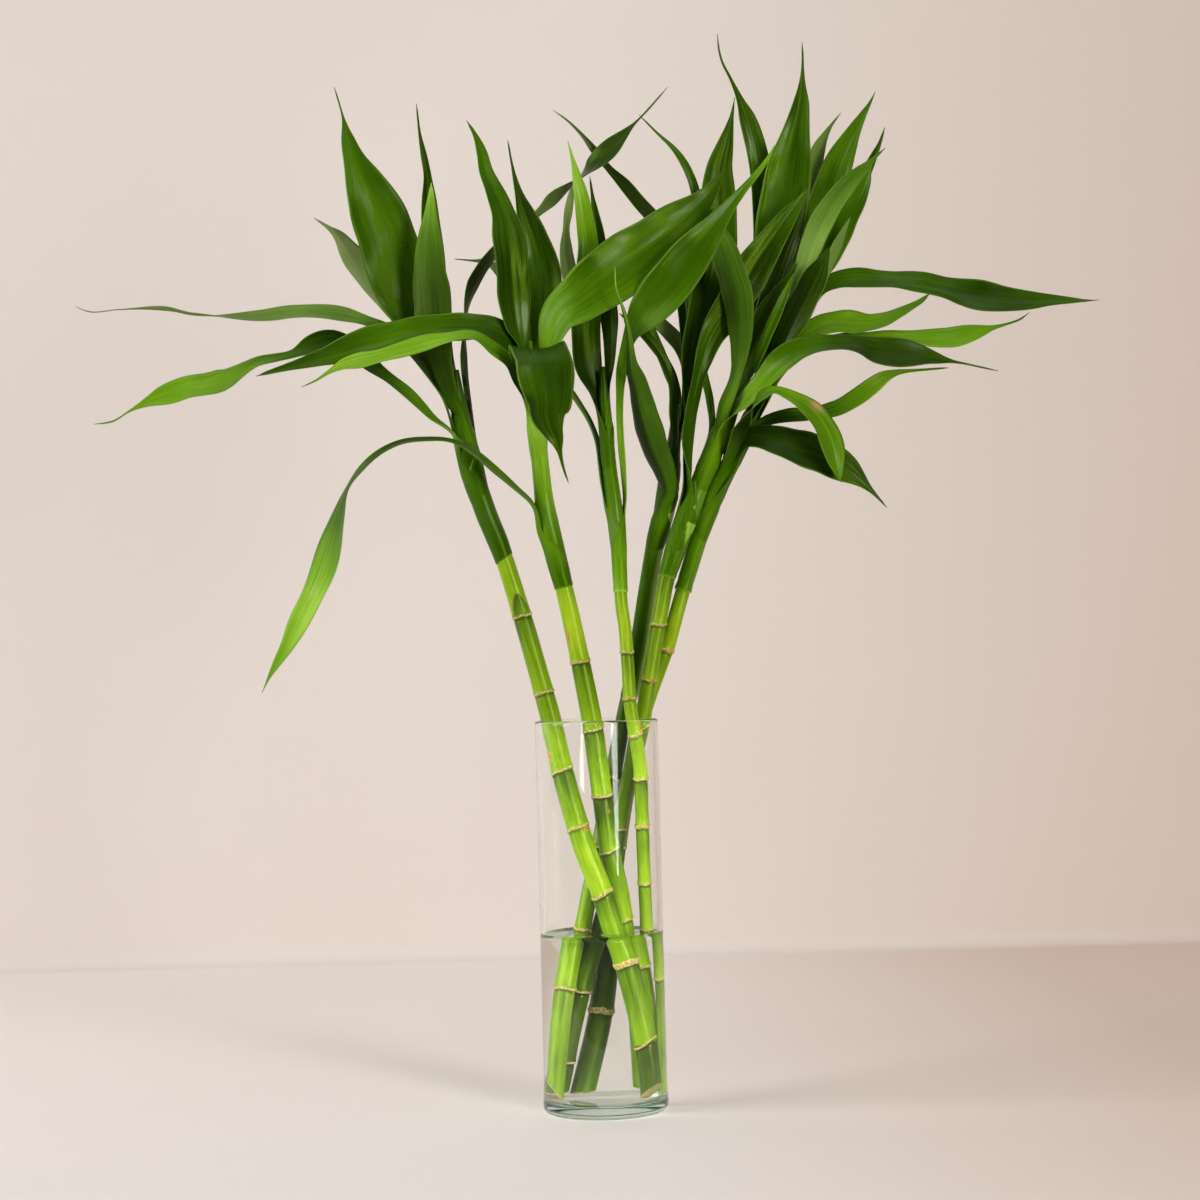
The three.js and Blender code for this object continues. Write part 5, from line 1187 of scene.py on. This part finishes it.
            (119, 345.5, -6.5, 8.5), (127, 348, -6.5, 9.4), (135, 352.6, -6.5, 9.4),
            (142.5, 357.8, -6, 8.3), (149, 362.3, -6, 6), (155, 364.4, -6, 3.6),
            (162.5, 365.3, -5.5, 2), (171.5, 365.8, -5, 1.4), (181, 366.4, -5, 0.9)],
    ),
    "f11": dict(
        height=311, side=275, turn=[140, 50, 30, 20], wave=0.5,
        tone=[0.55, 0.4, 0.14, 0.6, 0.7, 0.62, 0.56, 0.6], spots=[(0.68, -0.72, 2.7)],
        rib=[(76.5, 337, -13, 8), (81.5, 347, -20.7, 8.5), (86.8, 354, -26.7, 7),
            (93, 357.3, -28, 4.5), (100, 354.8, -28, 5.5), (107.5, 350, -28.5, 8.5),
            (114, 344, -29, 11.5), (118.7, 336.5, -29, 12.5), (121.5, 328.5, -29, 12.2),
            (123.2, 320.5, -29, 9), (124.6, 314.5, -28.5, 4), (125.6, 310.3, -28, 0.9)],
    ),
    "f12": dict(
        height=298, side=318, turn=[40, 30, 15, 15], wave=1,
        tone=[0.56, 0.5, 0.2, 0.2, 0.24, 0.26, 0.3, 0.4],
        rib=[(74, 327.5, -6, 8), (79.5, 333.5, -10, 9.5), (86, 333.8, -14, 12), (94, 331.5, -17, 15),
            (103, 328.3, -18.5, 18), (112, 325, -19, 20), (121, 321, -19, 18), (128.5, 316.5, -19, 14),
            (134.5, 311.7, -18.5, 8), (139.5, 306.8, -18, 3.5), (144, 302, -18, 1.5),
            (148.3, 297, -18, 0.9)],
    ),
}
print(len(LEAVES), "leaves:", " ".join(LEAVES))

# %% The line of a leaf
SHEATH_RUN, CLASP_RUN, SUNK = 18.0, 9.0, -0.5  # mm: a sheath's length, its hold above it, its sunk lower end
CLASP_SHARE, CLASP_FOLD, FOLD = 0.22, 26.0, 10.0  # share of a leaf that opens out, degrees held and free
SPAN_STEPS = 16


def along(values, share):
    """Evenly spaced values read at a share of the way, in straight lines."""
    return np.interp(share, np.linspace(0, 1, len(values)), values)


def clearance(past, layer):
    """How far a sheath lies off the shoot: its lower end is sunk into the one below, so no edge shows."""
    return SUNK + (layer - SUNK) * smoothstep(past, -SHEATH_RUN, -4)


def leaf_rib(leaf, cane, layer):
    """The line a leaf follows, with its shown width as a fourth column, and the length of its sheath.

    Four points hold on to the shoot, on the side the leaf grows from, and then come the noted ones.
    """
    angle = np.radians(leaf["side"])
    outward = np.array([np.cos(angle), np.sin(angle), 0.0])
    hold = []
    for step in (-SHEATH_RUN, -SHEATH_RUN / 2, 0.0, CLASP_RUN):
        middle, ahead = cane_at(cane, leaf["height"] + step)
        away = unit(outward - (outward @ ahead) * ahead)
        radius = plain_radius(cane, leaf["height"] + step)
        reach = (radius + 0.4) / np.cos(np.radians(CLASP_FOLD)) if step > 0 else radius + clearance(step, layer)
        hold.append([*(middle + away * reach), leaf["rib"][0][3] * 0.9])
    curve = catmull_rom(np.vstack([hold, seen(leaf["rib"])]), SPAN_STEPS)
    return curve, lengths(curve)[2 * SPAN_STEPS], outward


line, held_run, _ = leaf_rib(LEAVES["a1"], CANES["a"], 0.0)
print("leaf a1 is", round(float(lengths(line)[-1] - held_run)), "mm long above its sheath")

# %% [markdown]
# ### From a line to a surface
#
# At each row of its table a leaf needs two directions, one across it and one out of its upper face, then
# half its width, and the half angle of the arc that it makes across. Waves, a groove over the rib and
# faint pleats lift the points off that arc, and two copies of it, half the thickness to either side, are
# the leaf's two faces.

# %% Which way a leaf faces
def leaf_faces(leaf, middle, past, t, held, outward):
    """Unit vectors across a leaf and out of its upper face at each row, and how far it is turned there.

    turn is counted from facing the camera. Where the leaf is held it faces the shoot, and between the two
    the angle swings over the shorter way.
    """
    ahead = unit(np.gradient(middle, axis=0))
    front = np.array([1.0, 0, 0]) if leaf.get("sideways") else np.array([0, -1.0, 0])
    over = unit(np.cross(ahead, front))
    out = unit(np.cross(over, ahead))
    foot = int(np.argmin(np.abs(past)))
    foot_turn = np.degrees(np.arctan2(outward @ over[foot], -outward @ out[foot]))
    opening = (foot_turn - leaf["turn"][0] + 180) % 360 - 180
    turn = along(leaf["turn"], np.clip((t - CLASP_SHARE) / (1 - CLASP_SHARE), 0, 1))
    angle = np.radians(turn + opening * held)[:, None]
    face = out * np.cos(angle) - over * np.sin(angle)
    return unit(np.cross(ahead, face)), face, turn


# %% How wide and how rolled a leaf is
NARROWEST = 0.9  # a leaf's width at its tip, in mm
LEAST_SHOWN = 0.6  # the least share of its width that a turned leaf is taken to show


def leaf_width(leaf, cane, shown, past, t, held, turn, layer, phase):
    """Half the width of a leaf and the half angle of the arc across it, at each row.

    A leaf that is turned away looks narrower than it is, so its shown width is divided by the cosine. On
    the shoot the arc is almost a full circle, and its width is what goes round the shoot.
    """
    slant = 1.0 if leaf.get("sideways") else np.maximum(np.abs(np.cos(np.radians(turn))), LEAST_SHOWN)
    slant = slant * (1 - held) + held
    half = np.maximum(shown, NARROWEST + (shown - NARROWEST) / slant) / 2
    half = half * (1 - 0.7 * smoothstep(t, 0.97, 1.0)) * (1 + 0.03 * np.sin(2 * np.pi * (5 * t + phase)))
    fold = leaf.get("fold", FOLD) * (1 - held) + CLASP_FOLD * held
    rolled = np.radians(np.interp(past, [-SHEATH_RUN, -6, 0, 6, 14], [165, 135, 100, 70, 52]))
    still = 1 - smoothstep(past, 6, 20)
    curl = rolled * still + np.radians(2 * fold) * (1 - still)
    round_shoot = rolled * (plain_radius(cane, leaf["height"] + past) + clearance(past, layer))
    grip = 1 - smoothstep(past, 0, 10)
    return round_shoot * grip + half * (1 - grip), curl


# %% How a leaf is waved and pleated
ACROSS = np.linspace(-1, 1, 17)


def leaf_lift(leaf, half, past, t, phase):
    """How far the blade is lifted off its arc, in mm.

    Long and short sine waves that grow with v squared and v to the fourth lift the edges, with the two
    edges out of step. A groove runs along the rib, and a cosine across the blade makes faint pleats.
    """
    v, tt = ACROSS[None, :], t[:, None]
    hand = np.sign(v)
    fade = (smoothstep(t, CLASP_SHARE, CLASP_SHARE + 0.15) * smoothstep(1 - t, 0, 0.3))[:, None]
    ripple = v**2 * np.sin(2 * np.pi * (2.6 * tt + phase + 0.3 * hand))
    ripple = ripple + 0.3 * v**4 * np.sin(2 * np.pi * (8.3 * tt + 1.7 * phase + 0.21 * hand))
    blade = smoothstep(past, 8, 30)[:, None]
    channel = -0.2 * np.exp(-((v * half[:, None] / 0.8) ** 2)) * blade
    pleats = 0.07 * np.cos(14 * v + phase) * blade * np.minimum(half[:, None] / 8, 1)
    return leaf["wave"] * fade * ripple + channel + pleats


# %% What a leaf's material reads
UNDER_PALE = 0.1  # how much greyer the underside is
ROUND_BLADE = np.concatenate([ACROSS, ACROSS[-2:0:-1]])  # across the upper face, and back underneath
IS_UPPER = np.concatenate([[0.5], np.ones(15), [0.5], np.zeros(15)])


def leaf_facts(leaf, cane, run, past, t, height, half, widest, phase):
    """tone, pale, across, upper, skin and spot for every point of a leaf's table."""
    still_t = np.clip(t, 0, 1)
    flat = np.zeros((len(run), len(ROUND_BLADE)))
    skin = np.stack([flat + ROUND_BLADE * widest / 2, flat + 40 * phase, flat + run[:, None]], -1)
    blade_share = smoothstep(past, 2, 24)
    tone = shoot_tone(cane, height) * (1 - blade_share) + along(leaf["tone"], still_t) * blade_share
    # A painted shade: one half of a blade is painted darker than the other.
    shaded_half = leaf.get("shaded_half", 0) * blade_share[:, None] * (2 * smoothstep(ROUND_BLADE, -0.12, 0.12) - 1)
    under = UNDER_PALE * (1 - IS_UPPER) * smoothstep(past, 10, 40)[:, None]
    # How grey: the duller underside, and the painted sheen that is listed for some leaves.
    grey_and_sheen = along(leaf.get("grey_and_sheen", [0, 0]), still_t)[:, None] + under
    spot = flat.copy()
    for place, where, size in leaf.get("spots", []):
        apart = ((still_t[:, None] - place) * past[-1]) ** 2
        spot += np.exp(-(apart + ((ROUND_BLADE - where) * half[:, None]) ** 2) / size**2)
    return dict(
        tone=tone[:, None] + shaded_half, grey_and_sheen=flat + grey_and_sheen, across=flat + ROUND_BLADE, upper=flat + IS_UPPER,
        skin=skin, spot=spot)


# %% One whole leaf
ROW_STEP, FEWEST_ROWS, MOST_ROWS = 1.8, 45, 140
THICKNESS = 0.55


def leaf_table(leaf, cane, layer, phase):
    """Points of a leaf as a table (rows along it, columns round its two faces), and what lies on them.

    Across the leaf: side * r sin(v c) + face * r (1 - cos(v c)), where v runs from -1 to 1, c is the
    arc's half angle and r = half width / c. The blade thins out towards its edges and its tip.
    """
    curve, sheath, outward = leaf_rib(leaf, cane, layer)
    whole = lengths(curve)[-1]
    run = np.linspace(0, whole, int(np.clip(whole / ROW_STEP, FEWEST_ROWS, MOST_ROWS)))
    read = at_lengths(curve, run)
    middle, shown = read[:, :3], read[:, 3]
    past = run - sheath
    t = past / (whole - sheath)
    held = 1 - smoothstep(t, 0, CLASP_SHARE)
    side, face, turn = leaf_faces(leaf, middle, past, t, held, outward)
    half, curl = leaf_width(leaf, cane, shown, past, t, held, turn, layer, phase)

    r = (half / curl)[:, None]
    bend = ACROSS * curl[:, None]
    risen = r * (1 - np.cos(bend)) + leaf_lift(leaf, half, past, t, phase)
    points = middle[:, None] + side[:, None] * (r * np.sin(bend))[..., None] + face[:, None] * risen[..., None]
    normal = face[:, None] * np.cos(bend)[..., None] - side[:, None] * np.sin(bend)[..., None]
    thick = THICKNESS / 2 * np.sqrt(np.maximum(1 - ACROSS**8, 0)) * (1 - 0.5 * smoothstep(t, 0.8, 1.0))[:, None]
    top, below = points + normal * thick[..., None], points - normal * thick[..., None]
    table = np.concatenate([top, below[:, -2:0:-1]], 1)
    return table, leaf_facts(leaf, cane, run, past, t, middle[:, 2], half, shown.max(), phase)


table, facts = leaf_table(LEAVES["a1"], CANES["a"], 0.0, 0.0)
print("leaf a1 has", table.shape[0], "rows of", table.shape[1], "points, which store", ", ".join(facts))


# %% Make the leaves
# Sheaths lie over each other: a lower leaf's sheath is outside those of the leaves that start above it.
# Each next leaf is a little ahead in its ripple, so that no two look alike.
INNERMOST, LAYER, PHASE_STEP = 0.15, 0.2, 0.37
leaf_pieces = {}
for index, (name, leaf) in enumerate(LEAVES.items()):
    letter = name[0]
    inside = sum(
        1 for other, o in LEAVES.items()
        if other[0] == letter and leaf["height"] < o["height"] < leaf["height"] + SHEATH_RUN)
    table, facts = leaf_table(leaf, CANES[letter], INNERMOST + LAYER * inside, PHASE_STEP * index)
    leaf_pieces[name] = closed_tube("leaf_" + name, table, facts, leaf_skin, ["leaves_" + letter])
print(sum(len(o.data.polygons) for o in leaf_pieces.values()), "faces on", len(leaf_pieces), "leaves")

# %% [markdown]
# ## The vase
#
# A blown cylinder vase is a thin tube on a heavy foot. Seen from the side its wall is one outline, so it
# is turned like on a lathe: the outline's points (radius, height) are swept round the axis. Corners that
# are rounded in glass get arcs with many points, because glass shows every edge as a bright line.

# %% Turn an outline round the axis
SIDES = 144


def arc(x, y, radius, start, end, steps):
    """Points on an arc round (x, y), from one angle to another in degrees."""
    angle = np.radians(np.linspace(start, end, steps + 1))
    return np.stack([x + radius * np.cos(angle), y + radius * np.sin(angle)], -1)


def turned(outline, sides=SIDES):
    """Every outline point (r, z) swept round the axis: (r cos a, r sin a, z)."""
    outline = np.asarray(outline, float)
    a = np.linspace(0, 2 * np.pi, sides, endpoint=False)
    ring = np.stack([np.cos(a), np.sin(a), np.zeros(sides)], -1)
    return outline[:, None, :1] * ring + outline[:, None, 1:] * np.array([0.0, 0.0, 1.0])


# %% Make the vase
VASE_HEIGHT, VASE_RADIUS, FOOT_RADIUS, WALL, FLOOR = 195.0, 30.75, 31.25, 2.5, 6.0
FOOT_ROUNDING, CORNER = 3.4, 1.6  # radii of the rounded edge underneath and of the corner inside
INNER, RIM = VASE_RADIUS - WALL, WALL / 2
outline = np.vstack([
    [(r, 0.0) for r in np.linspace(2, 26, 7)],
    arc(FOOT_RADIUS - FOOT_ROUNDING, FOOT_ROUNDING, FOOT_ROUNDING, -90, 0, 14),
    [(FOOT_RADIUS - 0.5 * float(smoothstep(z, 4, 16)), z) for z in np.linspace(5, 16, 9)],
    [(VASE_RADIUS, z) for z in np.linspace(22, VASE_HEIGHT - RIM - 1, 24)],
    arc(VASE_RADIUS - RIM, VASE_HEIGHT - RIM, RIM, 0, 180, 16),
    [(INNER, z) for z in np.linspace(VASE_HEIGHT - RIM - 1, FLOOR + 3, 24)],
    arc(INNER - CORNER, FLOOR + CORNER, CORNER, 0, -90, 8),
    [(r, FLOOR) for r in np.linspace(24, 2, 7)],
])
vase = closed_tube("glass_vase", turned(outline), {}, vase_glass, ["vase"])
print("vase:", len(vase.data.polygons), "faces")

# %% [markdown]
# ## The water
#
# Water climbs a little where it touches glass or a cane, and that narrow rise draws the bright and dark
# lines round its surface. The body of water reaches a tenth of a millimetre into the glass. If it stopped
# short there would be a film of air between them, and the wall would mirror like silver.

# %% Make the water
LEVEL, INTO_GLASS = 88.5, 0.12
CLIMB, CANE_CLIMB, FADING = 0.8, 1.0, 0.8  # mm: rise at the glass and at a cane, and how soon it dies away
reach = INNER + INTO_GLASS
rings = np.concatenate([reach - 3.2 * np.linspace(0, 1, 12) ** 1.5, np.linspace(reach - 4, 1, 26)])
outline = np.vstack([
    [(r, FLOOR - INTO_GLASS) for r in np.linspace(2, 24, 7)],
    arc(reach - CORNER, FLOOR - INTO_GLASS + CORNER, CORNER, -90, 0, 8),
    [(reach, z) for z in np.linspace(FLOOR + 3, LEVEL - 2, 20)],
    [(r, LEVEL) for r in rings],
])
table = turned(outline, 180)
surface = table[-len(rings):]
distance = np.hypot(surface[..., 0], surface[..., 1])
rise = CLIMB * np.exp(-(reach - distance) / FADING)
for cane in CANES.values():
    middle, _ = cane_at(cane, LEVEL)
    apart = np.hypot(surface[..., 0] - middle[0], surface[..., 1] - middle[1]) - plain_radius(cane, LEVEL)
    rise = np.maximum(rise, CANE_CLIMB * np.exp(-np.maximum(apart, 0) / FADING))
surface[..., 2] += rise
water = closed_tube("clear_water", table, {}, vase_water, ["water"])
print("water:", len(water.data.polygons), "faces, level", LEVEL, "mm")

# %% [markdown]
# ## Floor and light
#
# The plant stands on a plain pale floor that curves up into a wall. The wall is painted darker than the
# floor, and both are painted darker towards the right, and the wall towards the upper left: painted shade.
# The wall is see-through from its back, for the camera only, so that the plant can be looked at from behind.
# Light is soft: a large panel on the left, a weaker one on the right, an oval one under it that gives the
# glass its white streak, and a faint one overhead.

# %% Floor and wall
UNDER_FOOT = 0.0004  # metres that the floor lies under the vase, so that their faces don't flicker


def sweep_floor(front=-0.27, back=0.668, height=2.6, bend=0.012, width=6.0):
    """A sheet that runs back along the floor, turns up through a small quarter circle and climbs as a wall."""
    turn = arc(back - bend, bend, bend, -90, 0, 12)
    line = np.vstack([[(front, 0.0)], turn, [(back, height)]])
    sides = np.broadcast_to([-width / 2, width / 2], (len(line), 2))
    grid = np.stack([sides, *(np.repeat(c[:, None], 2, 1) for c in line.T)], -1)
    grid[..., 2] -= UNDER_FOOT
    faces = [(2 * i, 2 * i + 1, 2 * i + 3, 2 * i + 2) for i in range(len(line) - 1)]
    mesh = bpy.data.meshes.new("studio_floor")
    mesh.from_pydata(grid.reshape(-1, 3).tolist(), [], faces)
    mesh.polygons.foreach_set("use_smooth", np.ones(len(faces), bool))
    floor = bpy.data.objects.new("studio_floor", mesh)
    scene.collection.objects.link(floor)
    return floor


paper, tree, shader = new_material("studio_paper")
place = add_node(tree, "ShaderNodeTexCoord").outputs["Object"]
grain = add_node(tree, "ShaderNodeTexNoise", Vector=place, Scale=3.0, Detail=4.0)
wall = mixed(tree, grain.outputs["Fac"], colour(222, 211, 203), colour(228, 219, 212))
table_top = mixed(tree, grain.outputs["Fac"], colour(240, 231, 225), colour(246, 238, 233))
xyz = add_node(tree, "ShaderNodeSeparateXYZ", Vector=place).outputs
# Painted shade: the wall darkens towards the right, and towards the upper left.
wall = mixed(tree, remap(tree, xyz[0], 0.02, 0.5), wall, colour(213, 198, 186))
diagonal = maths(tree, "SUBTRACT", xyz[2], xyz[0])
wall = mixed(tree, remap(tree, diagonal, 0.75, 1.45), wall, colour(209, 199, 191))
# Painted shade: the floor darkens towards the right, where the plant's shadow falls.
table_top = mixed(tree, remap(tree, xyz[0], 0.02, 0.32), table_top, colour(224, 206, 193))
# The wall part is painted darker than the floor part of the same sheet, as painted shade.
risen = remap(tree, xyz[2], -UNDER_FOOT, 0.001 - UNDER_FOOT)
tree.links.new(mixed(tree, risen, table_top, wall), shader.inputs["Base Color"])
shader.inputs["Roughness"].default_value = 0.75
shader.inputs["Specular IOR Level"].default_value = 0.2
from_behind = add_node(tree, "ShaderNodeNewGeometry").outputs["Backfacing"]
from_camera = add_node(tree, "ShaderNodeLightPath").outputs["Is Camera Ray"]
unseen = add_node(tree, "ShaderNodeBsdfTransparent")
one_way = one_of(tree, times(tree, from_behind, from_camera), shader, unseen)
tree.links.new(one_way.outputs[0], tree.nodes["Material Output"].inputs["Surface"])
floor = sweep_floor()
floor.data.materials.append(paper)
print("floor reaches", [round(c, 2) for c in floor.dimensions], "m")

# %% Lights
def panel(name, place, aim, size, power, shape="RECTANGLE"):
    """A flat lamp at place that faces aim, both in metres."""
    lamp = bpy.data.lights.new(name, "AREA")
    lamp.shape = shape
    lamp.size, lamp.size_y = size
    lamp.energy = power
    made = bpy.data.objects.new(name, lamp)
    made.location = place
    made.rotation_euler = (Vector(aim) - Vector(place)).to_track_quat("-Z", "Y").to_euler()
    scene.collection.objects.link(made)
    return made


panel("window_panel", (-2.2, -0.8, 1.1), (0, 0, 0.3), (1.7, 2.0), 51)
panel("softbox_panel", (1.1, -1.66, 1.0), (0, 0, 0.25), (0.5, 1.2), 12)
panel("streak_panel", (1.1, -1.66, 0.32), (0, 0, 0.2), (0.46, 0.74), 12, "ELLIPSE")
panel("ceiling_panel", (0, -0.7, 2.3), (0, 0.1, 0), (2.4, 1.6), 10.5)
world = bpy.data.worlds.new("studio_air")
world.use_nodes = True
tree, air = world.node_tree, world.node_tree.nodes["Background"]
toward = add_node(tree, "ShaderNodeTexCoord").outputs["Generated"]
height = add_node(tree, "ShaderNodeSeparateXYZ", Vector=toward).outputs[2]
above = remap(tree, height, -0.02, 0.04)
tree.links.new(mixed(tree, above, (0.3, 0.28, 0.26), (0.09, 0.086, 0.082)), air.inputs["Color"])
scene.world = world
scene.view_settings.view_transform = "Standard"
